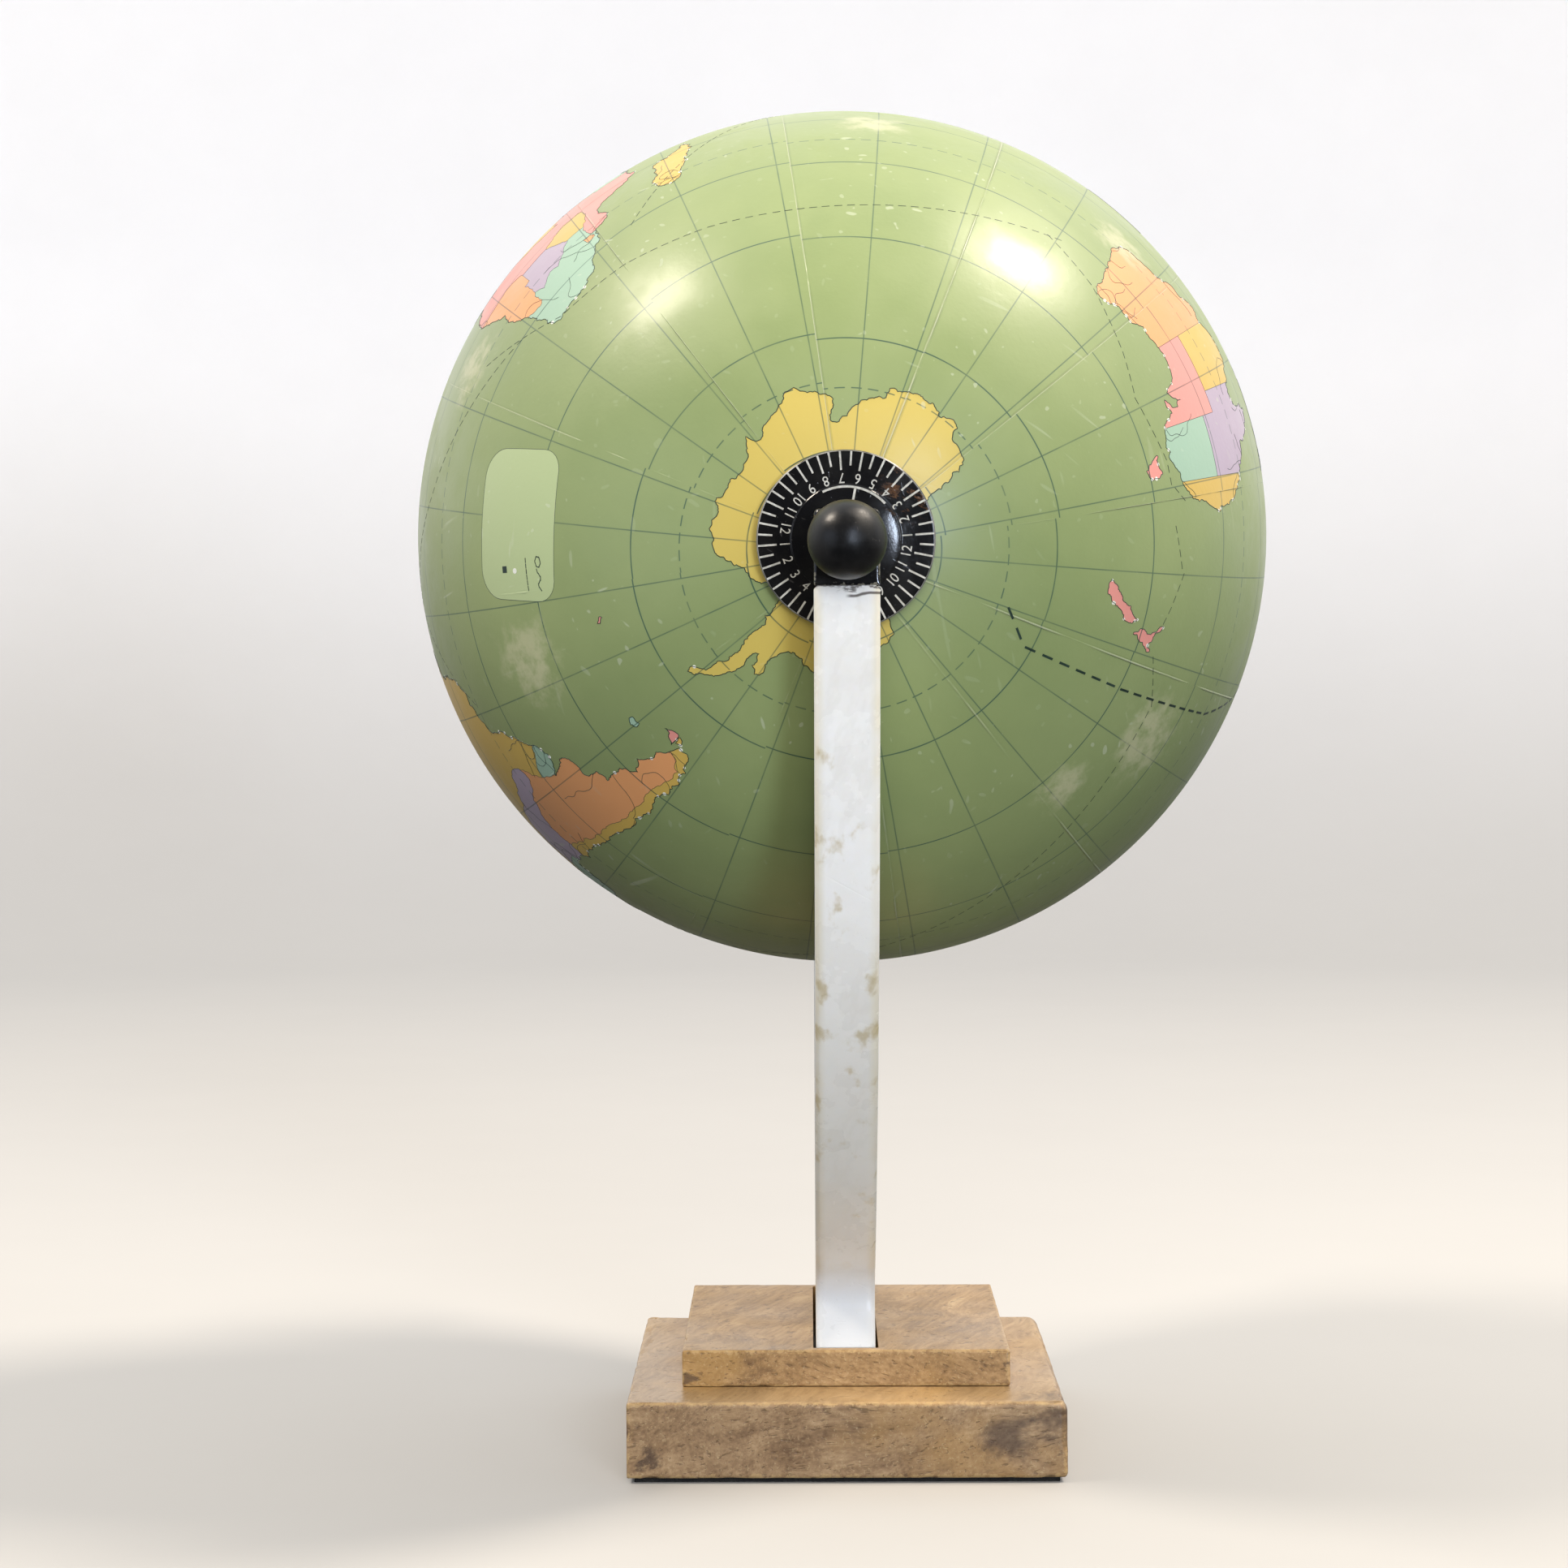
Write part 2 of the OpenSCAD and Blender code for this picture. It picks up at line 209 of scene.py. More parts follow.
def lathe(name: str, profile: Sequence[Point], stand: Matrix, segments: int = 160) -> Piece:
    """Turns a closed profile about the local Z axis.

    Args:
        name: Name of the piece.
        profile: Radius and height of each point. A profile that starts and ends on the axis is
            closed there; any other is closed from its last point to its first.
        stand: Where the local axes lie in the frame.
        segments: Facets round the axis.

    Returns:
        The turned piece, with its place in its mesh.
    """
    shape = bmesh.new()
    turns = [2 * pi * i / segments for i in range(segments)]
    rings = []
    for radius, height in profile:
        around = turns if radius > TINY else turns[:1]
        rings.append([shape.verts.new((radius * cos(a), radius * sin(a), height)) for a in around])
    if len(rings[0]) > 1 or len(rings[-1]) > 1:
        rings.append(rings[0])
    for low, high in zip(rings, rings[1:]):
        for i in range(segments):
            j = (i + 1) % segments
            way = ((low, i), (low, j), (high, j), (high, i))
            corners = dict.fromkeys(ring[k % len(ring)] for ring, k in way)
            if len(corners) > 2:
                shape.faces.new(list(corners))
    mesh = settled(shape, name, stand)
    smoothed(mesh)
    return linked(name, mesh)


def rounded(profile: Sequence[Point], radius: float, steps: int = 4) -> list[Point]:
    """Rounds the corners of a turned profile that lie off the axis.

    Args:
        profile: Radius and height of each corner.
        radius: Largest rounding; short sides get less.
        steps: Points of each rounded corner.

    Returns:
        The profile with rounded corners.
    """
    made: list[Point] = []
    for i, corner in enumerate(profile):
        here = Vector(corner)
        before = Vector(profile[i - 1]) - here
        after = Vector(profile[(i + 1) % len(profile)]) - here
        room = min(radius, before.length * 0.45, after.length * 0.45)
        if corner[0] < TINY or room < 1e-7 or before.angle(after) > radians(150):
            made.append(corner)
            continue
        start, end = here + before.normalized() * room, here + after.normalized() * room
        for t in (k / steps for k in range(steps + 1)):
            made.append(tuple(start * (1 - t) ** 2 + here * (2 * t * (1 - t)) + end * t**2))
    return made


def cut(piece: Piece, cutter: Piece) -> None:
    """Cuts a closed solid out of a piece and removes the solid.

    Args:
        piece: What is cut.
        cutter: The solid.
    """
    carve = piece.modifiers.new("carve", "BOOLEAN")
    carve.operation = "DIFFERENCE"
    carve.solver = "EXACT"
    carve.object = cutter
    plain, piece.data = piece.data, evaluated(piece)
    piece.modifiers.clear()
    bpy.data.meshes.remove(plain)
    piece.data.name = piece.name
    bpy.data.objects.remove(cutter)


# ---- the frame


@dataclass
class Frame:
    """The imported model, with the places that the pieces are worked out from."""

    nodes: dict[str, Piece]
    centre: Vector
    north: Vector

    @classmethod
    def load(cls) -> Frame:
        """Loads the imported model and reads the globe's axis from its joint.

        Returns:
            The frame.
        """
        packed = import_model()
        spin = next(j for j in packed["joints"] if j["name"] == "globe_spin")
        return cls(packed["nodes"], Vector(spin["pos_m"]), Vector(spin["axis"]).normalized())

    @property
    def up(self) -> Vector:
        """The direction square to the axis that points most upwards."""
        return (Vector((0, 0, 1)) - self.north * self.north.z).normalized()

    @property
    def globe_r(self) -> float:
        """Radius of the globe."""
        low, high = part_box("globe_south")
        return (high.x - low.x) / 2

    def _standing(self, across: Vector, ahead: Vector, top: Vector) -> Matrix:
        """Local axes at the globe's centre as a matrix to the frame."""
        return Matrix.Translation(self.centre) @ Matrix((across, ahead, top)).transposed().to_4x4()

    def pole(self, side: int) -> Matrix:
        """Local axes at the centre, with Z to the south pole (1) or the north pole (-1) and Y upwards."""
        out = self.north * -side
        return self._standing(self.up.cross(out), self.up, out)

    def crescent(self) -> Matrix:
        """Local axes at the centre, with Y along the axis to the north and Z upwards."""
        return self._standing(self.north.cross(self.up), self.north, self.up)

    def spots(self, node: str) -> list[Vector]:
        """Places of a node's vertices."""
        return [vertex.co for vertex in self.nodes[node].data.vertices]

    def reach(self, node: str, side: int) -> tuple[float, float]:
        """Nearest and farthest distance of a node along the axis, to the south (1) or the north (-1)."""
        along = [(spot - self.centre).dot(self.north * -side) for spot in self.spots(node)]
        return min(along), max(along)

    def box_in(self, node: str, stand: Matrix) -> tuple[Vector, Vector]:
        """Box of a node in local axes.

        Args:
            node: Name of the node.
            stand: Where the local axes lie.

        Returns:
            Its lowest and highest corner.
        """
        back = stand.inverted()
        columns = list(zip(*(back @ spot for spot in self.spots(node))))
        return Vector([min(column) for column in columns]), Vector([max(column) for column in columns])

    def foot_half(self, top: float) -> float:
        """Half the depth of the cradle's foot, from what lies under a height."""
        return max(abs(spot.y) for spot in self.spots("cradle") if spot.z < top)

    def radius(self, node: str) -> float:
        """Largest distance of a node from the axis."""
        arms = [spot - self.centre for spot in self.spots(node)]
        return max((arm - self.north * arm.dot(self.north)).length for arm in arms)


# ---- node trees


class Value:
    """A number, place or colour inside a node tree, with sums written as in plain code."""

    def __init__(self, nodes: Nodes, socket: bpy.types.NodeSocket) -> None:
        """Wraps an output socket of the tree that the writer fills."""
        self.nodes, self.socket = nodes, socket

    def __add__(self, other: Value | float) -> Value:
        """The sum."""
        return self.nodes.math("ADD", self, other)

    def __sub__(self, other: Value | float) -> Value:
        """The difference."""
        return self.nodes.math("SUBTRACT", self, other)

    def __rsub__(self, other: float) -> Value:
        """A number less this value."""
        return self.nodes.math("SUBTRACT", other, self)

    def __mul__(self, other: Value | float) -> Value:
        """The product."""
        return self.nodes.math("MULTIPLY", self, other)

    def __truediv__(self, other: Value | float) -> Value:
        """The quotient."""
        return self.nodes.math("DIVIDE", self, other)

    def __abs__(self) -> Value:
        """The size without the sign."""
        return self.nodes.math("ABSOLUTE", self)

    def band(self, low: float, high: float, start: float = 0.0, end: float = 1.0) -> Value:
        """A smooth step, from one result at low to another at high."""
        values = {"Value": self, "From Min": low, "From Max": high, "To Min": start, "To Max": end}
        return self.nodes.value("ShaderNodeMapRange", values, "Result", interpolation_type="SMOOTHSTEP")

    def tinted(self, share: Value | float, shade: Value | Colour | str) -> Value:
        """This colour, with a share of another."""
        return self.nodes.mix(share, self, shade)

    def noise(self, scale: Value | float, detail: float = 3.0, rough: float = 0.55) -> Value:
        """Soft noise about one half, with scale cells to the metre."""
        return self.nodes.value("ShaderNodeTexNoise", {
            "Vector": self, "Scale": scale, "Detail": detail, "Roughness": rough})

    def moved(self, location: Sequence[float] = (0, 0, 0), rotation: Sequence[float] = (0, 0, 0),
              scale: Sequence[float] = (1, 1, 1)) -> Value:
        """This place in moved, turned and stretched axes."""
        return self.nodes.value("ShaderNodeMapping", {
            "Vector": self, "Location": location, "Rotation": rotation, "Scale": scale}, vector_type="TEXTURE")

    def parts(self) -> list[Value]:
        """The three numbers of a place."""
        return self.nodes.outputs(self.nodes.add("ShaderNodeSeparateXYZ", {0: self}))

    def distance(self, spot: Value | Sequence[float]) -> Value:
        """Distance from a spot."""
        return self.nodes.value("ShaderNodeVectorMath", {0: self, 1: spot}, "Value", operation="DISTANCE")

    def through(self, effect: Tree, **inputs: object) -> list[Value]:
        """What a shared effect gives at this place, for its other inputs."""
        group = self.nodes.add("ShaderNodeGroup", {"Place": self, **inputs}, node_tree=effect)
        return self.nodes.outputs(group)


class Nodes:
    """Writes one node tree in short calls."""

    def __init__(self, tree: Tree, material: Material | None = None) -> None:
        """Starts on an emptied tree, which may be that of a material."""
        self.tree, self.material = tree, material
        tree.nodes.clear()

    def add(self, kind: str, values: dict | None = None, **settings: object) -> bpy.types.Node:
        """Adds a node.

        Args:
            kind: The node's type.
            values: For an input's name or number, a value to link or a fixed one.
            **settings: Properties of the node.

        Returns:
            The node.
        """
        node = self.tree.nodes.new(kind)
        for key, setting in settings.items():
            setattr(node, key, setting)
        for key, value in (values or {}).items():
            if isinstance(value, Value):
                self.tree.links.new(value.socket, node.inputs[key])
            else:
                node.inputs[key].default_value = value
        return node

    def value(self, kind: str, values: dict | None = None, output: int | str = 0,
              **settings: object) -> Value:
        """Adds a node, as add does, and gives the output of a name or number."""
        return Value(self, self.add(kind, values, **settings).outputs[output])

    def outputs(self, node: bpy.types.Node) -> list[Value]:
        """All that a node puts out."""
        return [Value(self, socket) for socket in node.outputs]

    def math(self, operation: str, a: Value | float, b: Value | float = 0.0) -> Value:
        """One step of arithmetic, by Blender's name of the operation."""
        return self.value("ShaderNodeMath", {0: a, 1: b}, operation=operation)

    def mix(self, share: Value | float, a: Value | Colour | str, b: Value | Colour | str) -> Value:
        """The colour a, with a share of the colour b."""
        first, second = (colour(shade) if isinstance(shade, str) else shade for shade in (a, b))
        return self.value("ShaderNodeMix", {0: share, 6: first, 7: second}, 2, data_type="RGBA")

    def ramp(self, value: Value, stops: Sequence[tuple[float, str]]) -> Value:
        """A colour ramp.

        Args:
            value: What runs along the ramp.
            stops: Place and colour of each stop.

        Returns:
            The colour.
        """
        node = self.add("ShaderNodeValToRGB", {0: value})
        elements = node.color_ramp.elements
        while len(elements) < len(stops):
            elements.new(0.5)
        for element, (place, shade) in zip(elements, stops):
            element.position = place
            element.color = colour(shade)
        return Value(self, node.outputs[0])

    def coordinates(self, kind: str = "Object") -> Value:
        """Coordinates of a kind; those of the object lie in the frame."""
        return self.value("ShaderNodeTexCoord", None, kind)

    def stored(self, name: str, output: str) -> Value:
        """An attribute that is stored in the mesh."""
        return self.value("ShaderNodeAttribute", None, output, attribute_name=name, attribute_type="GEOMETRY")

    def closed(self, **outputs: Value) -> Tree:
        """Ends a group.

        Args:
            **outputs: Its outputs, which are numbers.

        Returns:
            The group's tree.
        """
        for key in outputs:
            self.tree.interface.new_socket(key, in_out="OUTPUT", socket_type="NodeSocketFloat")
        self.add("NodeGroupOutput", outputs)
        return self.tree


# ---- shared effects


def opened(name: str, **inputs: float | None) -> list:
    """Opens a shared effect.

    Args:
        name: Name of the node group.
        **inputs: Default of each input; None stands for a place.

    Returns:
        The tree's writer, then each input.
    """
    tree = bpy.data.node_groups.new(name, "ShaderNodeTree")
    for key, default in inputs.items():
        kind = "NodeSocketVector" if default is None else "NodeSocketFloat"
        socket = tree.interface.new_socket(key, in_out="INPUT", socket_type=kind)
        if default is not None:
            socket.default_value = default
    nodes = Nodes(tree)
    start = nodes.add("NodeGroupInput")
    return [nodes, *(Value(nodes, start.outputs[key]) for key in inputs)]


class Effects:
    """Effects that several finishes share, each built once as a node group."""

    @staticmethod
    @cache
    def mottle() -> Tree:
        """Soft patches at two sizes.

        Returns:
            The node group.
        """
        nodes, place, scale, sharpness = opened("mottle", Place=None, Scale=40.0, Sharpness=1.0)
        blend = place.noise(scale, 4.0) * 0.7 + place.noise(scale * 5.3) * 0.3
        return nodes.closed(Value=(blend - 0.5) * sharpness * 4.0 + 0.5)

    @staticmethod
    @cache
    def scratches() -> Tree:
        """Short straight hairlines in three directions, with a few specks.

        Returns:
            The node group.
        """
        nodes, place, scale, amount = opened("fine_scratches", Place=None, Scale=300.0, Amount=0.3)
        lines = place.noise(scale * 2.6, 1.0).band(0.775, 0.8)
        for turn in ((0.3, 0.5, 0.2), (1.4, 0.2, 2.1), (2.4, 1.3, 0.9)):
            hairs = place.moved(rotation=turn, scale=(34.0, 1.0, 1.0)).noise(scale * 4.0, 0.0)
            lines = nodes.math("MAXIMUM", lines, hairs.band(0.8, 0.84))
        here = place.noise(scale * 0.2, 2.0).band(0.48, 0.6, 0.25)
        return nodes.closed(Mask=lines * here * amount)

    @staticmethod
    @cache
    def worn_edge() -> Tree:
        """A broken band along the edges that the mesh marks.

        Returns:
            The node group.
        """
        nodes, place, scale, amount = opened("worn_edge", Place=None, Scale=500.0, Amount=0.5)
        edge = nodes.stored("edge", "Fac")
        ragged = place.noise(scale, 4.0, 0.65) - (1.05 - amount * edge) * 0.62
        return nodes.closed(Mask=ragged.band(0.0, 0.09) * edge.band(0.05, 0.4))

    @staticmethod
    @cache
    def scuffs() -> Tree:
        """One cloudy worn place round a spot.

        Returns:
            The node group.
        """
        nodes, place, spot, radius = opened("cloudy_scuffs", Place=None, Spot=None, Radius=0.01)
        held = (place.distance(spot) / radius).band(1.0, 0.15)
        cloud = place.noise(260.0, 5.0, 0.62) + held * 0.35
        return nodes.closed(Mask=cloud.band(0.62, 0.95) * held)

    @staticmethod
    @cache
    def skin() -> Tree:
        """The slow waves and fine grain in the surface of a lacquer, and its haze.

        Returns:
            The node group.
        """
        nodes, place, scale = opened("lacquer_skin", Place=None, Scale=150.0)
        height = place.noise(scale, 2.0) * 0.7 + place.noise(scale * 9.0, 2.0) * 0.3
        return nodes.closed(Height=height, Haze=place.noise(scale * 0.4, 5.0, 0.65).band(0.35, 0.7))


# ---- finishes


@dataclass(frozen=True)
class Finish:
    """A finish with plain values that are the same all over a piece."""

    name: str
    roughness: float = 0.5
    metallic: float = 0.0
    coat: float = 0.0
    coat_roughness: float = 0.08
    specular: float = 0.5
    subsurface: float = 0.0
    subsurface_radius: Triple = (1.0, 0.2, 0.1)
    subsurface_scale: float = 0.05

    def begin(self) -> tuple[Nodes, Value]:
        """Opens the material.

        Returns:
            The writer of its tree and the place in the frame.
        """
        material = bpy.data.materials.new(self.name)
        material.use_nodes = True
        nodes = Nodes(material.node_tree, material)
        return nodes, nodes.coordinates()

    def varied(self, value: Value, less: float, more: float, low: float = 0.0, high: float = 1.0) -> Value:
        """The roughness times less where a value is low, and times more where it is high."""
        return value.band(low, high, self.roughness * less, self.roughness * more)

    def end(self, base: Value, rough: Value | None = None, relief: Value | None = None,
            depth: float = 0.0) -> Material:
        """Ends the material with its shader.

        Args:
            base: The colour.
            rough: The roughness, where it varies.
            relief: Height of the relief from zero to one, where there is one.
            depth: Depth of the relief in metres.

        Returns:
            The material.
        """
        nodes = base.nodes
        values = {
            "Base Color": base, "Roughness": rough or self.roughness, "Metallic": self.metallic,
            "Coat Weight": self.coat, "Coat Roughness": self.coat_roughness,
            "Specular IOR Level": self.specular, "Subsurface Weight": self.subsurface,
            "Subsurface Radius": self.subsurface_radius, "Subsurface Scale": self.subsurface_scale}
        if relief:
            bump = {"Height": relief, "Distance": depth, "Strength": 1.0}
            values["Normal"] = nodes.value("ShaderNodeBump", bump)
        nodes.add("ShaderNodeOutputMaterial", {"Surface": nodes.value("ShaderNodeBsdfPrincipled", values)})
        return nodes.material


@dataclass(frozen=True)
class SpeckledFinish(Finish):
    """A finish of one mottled colour, for the plain parts."""

    light: str = "#808080"
    dark: str = "#606060"
    scale: float = 300.0
    grain_depth: float = 0.00002

    def make(self) -> Material:
        """Builds the finish.

        Returns:
            The material.
        """
        nodes, place = self.begin()
        value = place.through(Effects.mottle(), Scale=self.scale)[0]
        rough = self.varied(value, 0.85, 1.15)
        return self.end(nodes.mix(value, self.dark, self.light), rough, value, self.grain_depth)


@dataclass(frozen=True)
class SweepPaint(Finish):
    """Matt paint of the stage: pale grey below, nearly white higher up."""

    floor: str = "#b9b8b6"
    wall: str = "#efeff0"
    rise: float = 0.45

    def make(self) -> Material:
        """Builds the finish.

        Returns:
            The material.
        """
        nodes, place = self.begin()
        cloud = place.through(Effects.mottle(), Scale=6.0)[0]
        base = nodes.mix(place.parts()[2].band(0.0, self.rise), self.floor, self.wall)
        return self.end(base.tinted(cloud * 0.03, "#808080"))


@dataclass(frozen=True)
class TurnedMetal(Finish):
    """Turned or drawn metal, with rings about the globe's axis."""

    shade: str = "#b9b6ae"
    stain: str = "#7d766a"

    def make(self, frame: Frame) -> Material:
        """Builds the finish.

        Args:
            frame: The frame, for its axis.

        Returns:
            The material.
        """
        nodes, place = self.begin()
        turned = place.moved(frame.centre, frame.pole(1).to_euler())
        rings = turned.moved(scale=(6.0, 6.0, 0.4)).noise(900.0)
        patch = place.through(Effects.mottle(), Scale=120.0)[0].band(0.5, 1.0)
        rough = self.varied(rings, 0.7, 1.4, 0.3, 0.7)
        return self.end(nodes.mix(patch, self.shade, self.stain), rough, rings, 0.00001)


@dataclass(frozen=True)
class OiledWood(Finish):
    """Brown wood under a satin varnish: growth rings across the grain, pores, dark patches and knots, with a
    painted sheen on the faces that look up.
    """

    angle: float = 77.0
    roll: float = -14.0
    knots: tuple[tuple[float, float, float, float], ...] = ()
    tones: tuple[str, ...] = ("#6b523a", "#8b6f50", "#a58865", "#bfa27d")
    gold: str = "#ad8751"
    pore: str = "#4a3726"
    fleck: str = "#c9b48a"
    # Painted sheen: the lighter colour laid on faces that look up, for the light that falls on them
    painted_top_sheen: str = "#d8b67c"
    knot: str = "#41332c"
    # Share of that painted sheen on the faces that look up
    worn: str = "#c2a473"
    top_sheen_share: float = 0.2

    def make(self) -> Material:
        """Builds the finish, whose grain runs at an angle through the whole block.

        Returns:
            The material.
        """
        nodes, place = self.begin()
        turn = (radians(self.roll), radians(-5), radians(self.angle))
        bend = place.noise(28.0, 2.0) * 0.012
        sway = nodes.value("ShaderNodeCombineXYZ", {"Y": bend, "Z": bend})

        def along(stretch: Point, scale: float, detail: float, rough: float = 0.6) -> Value:
            """Noise that is drawn out along the swaying grain and along the rings.

            Args:
                stretch: How far, along each.
                scale: Cells to the metre.
                detail: Octaves.
                rough: Weight of the finer octaves.

            Returns:
                The noise's value.
            """
            drawn = place.moved(rotation=turn, scale=(*stretch, 1.0))
            swayed = nodes.value("ShaderNodeVectorMath", {0: drawn, 1: sway}, operation="ADD")
            return swayed.noise(scale, detail, rough)

        figure = along((6.0, 1.5), 250.0, 7.0, 0.66)
        fibre = along((20.0, 1.3), 1300.0, 2.0)
        broad = along((1.8, 1.6), 34.0, 3.0)
        rings = along((14.0, 7.0), 420.0, 3.0)
        tone = figure * 0.3 + rings * 0.22 + (fibre * 0.25 + broad * 0.23)
        base = nodes.ramp(tone, [(0.37 + 0.09 * i, code) for i, code in enumerate(self.tones)])
        base = base.tinted(place.noise(48.0).band(0.5, 0.7, 0.0, 0.5), self.gold)
        pits = along((3.0, 2.4), 1400.0, 2.0).band(0.58, 0.7)
        base = base.tinted(pits * 0.5, self.pore)
        base = base.tinted(place.noise(1700.0, 3.0, 0.7).band(0.56, 0.72) * 0.42, self.fleck)
        # Painted sheen: faces that look up are tinted lighter, for the light that falls on them
        upward = nodes.coordinates("Normal").parts()[2]
        base = base.tinted(upward.band(0.5, 0.95, 0.0, self.top_sheen_share), self.painted_top_sheen)
        for x, y, z, radius in self.knots:
            ragged = place.distance((x * MM, y * MM, z * MM)) + (figure - 0.5) * 0.018
            base = base.tinted(ragged.band(radius * MM, radius * MM * 0.15, 0.0, 0.68), self.knot)
        edge = place.through(Effects.worn_edge(), Scale=700.0, Amount=0.45)[0]
        return self.end(base.tinted(edge * 0.5, self.worn), self.varied(broad, 0.8, 1.25, 0.3, 0.7),
                        figure * 0.35 - pits, 0.00006)


@dataclass(frozen=True)
class PolishedStone(Finish):
    """White translucent stone, with grey clouds, veins and brown stains near its edges, and painted light: a
    cream tint on the chamfers, painted shade lower down and a painted bluish reflection on the foot.
    """

    clouds: tuple[str, str, str] = ("#f1efea", "#f8f7f3", "#fdfcfa")
    vein: str = "#c9c5ba"
    # Painted light: the cream tint laid along the chamfers, for the light they catch
    cream: str = "#ece5d0"
    # Painted shade: the colour laid on the lower part of the stone, where it faces down
    shade: str = "#cfc8b6"
    # Painted reflection: the bluish grey laid on the foot's flare, for the cool light it reflects
    foot: str = "#c6cbd2"
    stain: str = "#b8a46e"
    dirt: str = "#3a2a20"
    # Heights over which the painted shade comes in
    painted_shade_h: Point = (0.135, 0.05)
    # Heights over which the painted reflection on the foot comes in
    foot_reflection_h: Point = (0.043, 0.033)
    stain_h: Point = (0.036, 0.05)
    # Depths of the band along both sides, which carries the painted cream tint on the chamfers and the reach of
    # the stains
    chamfer_light_and_stain_band: Point = (0.0022, 0.0005)

    def make(self, frame: Frame, joint_low: float, half_width: float) -> Material:
        """Builds the finish.

        Args:
            frame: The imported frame.
            joint_low: Height of the joints with the tip blocks, from the globe's centre.
            half_width: Half the slab's thickness.

        Returns:
            The material.
        """
        nodes, place = self.begin()
        x, _, z = place.parts()
        edge_face = abs(nodes.coordinates("Normal").parts()[0]).band(0.97, 0.8)
        clouds = place.through(Effects.mottle(), Scale=45.0, Sharpness=0.55)[0]
        base = nodes.ramp(clouds, list(zip((0.1, 0.5, 0.9), self.clouds)))
        slanted = place.moved(rotation=(0.5, 0.2, 0.3), scale=(1.0, 1.0, 3.2))
        base = base.tinted(abs(slanted.noise(60.0, 5.0, 0.6) - 0.5).band(0.03, 0.0, 0.0, 0.1), self.vein)
        # The band along both sides carries the painted cream tint on the chamfers and the stains' reach
        side = abs(x).band(*(half_width - deep for deep in self.chamfer_light_and_stain_band)) * edge_face
        base = base.tinted(side * place.noise(70.0).band(0.3, 0.6, 0.25, 0.85), self.cream)
        # Painted shade: darker towards the bottom, where the stone faces down
        base = base.tinted(z.band(*self.painted_shade_h, 0.0, 0.5), self.shade)
        # Painted reflection: bluish grey on the foot's flare, for the cool light it reflects
        base = base.tinted(z.band(*self.foot_reflection_h) * edge_face * 0.75, self.foot)
        spots = place.moved(scale=(1.0, 1.0, 1.7)).noise(190.0, 4.0)
        spots = spots + (side * z.band(0.13, 0.105) * 0.06 + z.band(0.150, 0.075) * 0.02)
        base = base.tinted(spots.band(0.61, 0.76) * z.band(*self.stain_h) * 0.65, self.stain)
        base = base.tinted(self._joint(place, frame, joint_low) * 0.85, self.dirt)
        flecks = place.noise(2400.0, 1.0).band(0.7, 0.76)
        scratched = place.through(Effects.scratches(), Scale=240.0, Amount=0.5)[0]
        return self.end(base, self.varied(clouds, 0.7, 1.3) - flecks * 0.15, clouds * 0.5 - scratched, 0.00005)

    @staticmethod
    def _joint(place: Value, frame: Frame, joint_low: float) -> Value:
        """Old glue under the joint with a tip block, with a crack beside it.

        Args:
            place: The place in the frame.
            frame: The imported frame.
            joint_low: Height of the joints, from the globe's centre.

        Returns:
            How much of it shows.
        """
        under = joint_low - place.moved(frame.centre, frame.crescent().to_euler()).parts()[2]
        dirt = place.moved(scale=(2.0, 1.0, 0.6)).noise(420.0, 4.0, 0.7)
        glue = (dirt - under * 130.0).band(0.42, 0.56)
        line = abs(under + (place.noise(170.0, 2.0) - 0.5) * 0.0014 - 0.0016)
        crack = line.band(0.0004, 0.0001) * place.parts()[0].band(-0.0005, 0.0008)
        return place.nodes.math("MAXIMUM", glue, crack) * under.band(0.006, 0.003)


@dataclass(frozen=True)
class BlackLacquer(Finish):
    """Black gloss: fine scratches, haze and brown wear."""

    black: str = "#0f0f11"
    dust: str = "#1d1c1b"
    scratch: str = "#6d6a66"
    bare_edge: str = "#8d8878"
    wear: str = "#6b4a30"
    wear_amount: float = 0.0
    wear_side: Triple = (0.0, 0.0, 0.0)
    wear_reach: float = 0.01
    scratch_scale: float = 420.0
    edge_amount: float = 0.3

    def make(self) -> Material:
        """Builds the finish.

        Returns:
            The material.
        """
        nodes, place = self.begin()
        lines = place.through(Effects.scratches(), Scale=self.scratch_scale, Amount=0.5)[0]
        height, haze = place.through(Effects.skin(), Scale=320.0)
        base = nodes.mix(haze, self.black, self.dust).tinted(lines * 0.35, self.scratch)
        if self.wear_amount:
            near = place.distance(self.wear_side).band(self.wear_reach, self.wear_reach * 0.3)
            rub = place.moved(rotation=(0, 0.5, 0), scale=(2.0, 1.0, 1.0)).noise(640.0, 5.0, 0.75)
            base = base.tinted(rub.band(0.5, 0.62) * near * self.wear_amount, self.wear)
        edge = place.through(Effects.worn_edge(), Scale=900.0, Amount=self.edge_amount)[0]
        return self.end(base.tinted(edge * 0.8, self.bare_edge), self.varied(haze, 0.8, 1.35) + lines * 0.25,
                        height - lines * 0.6, 0.00003)


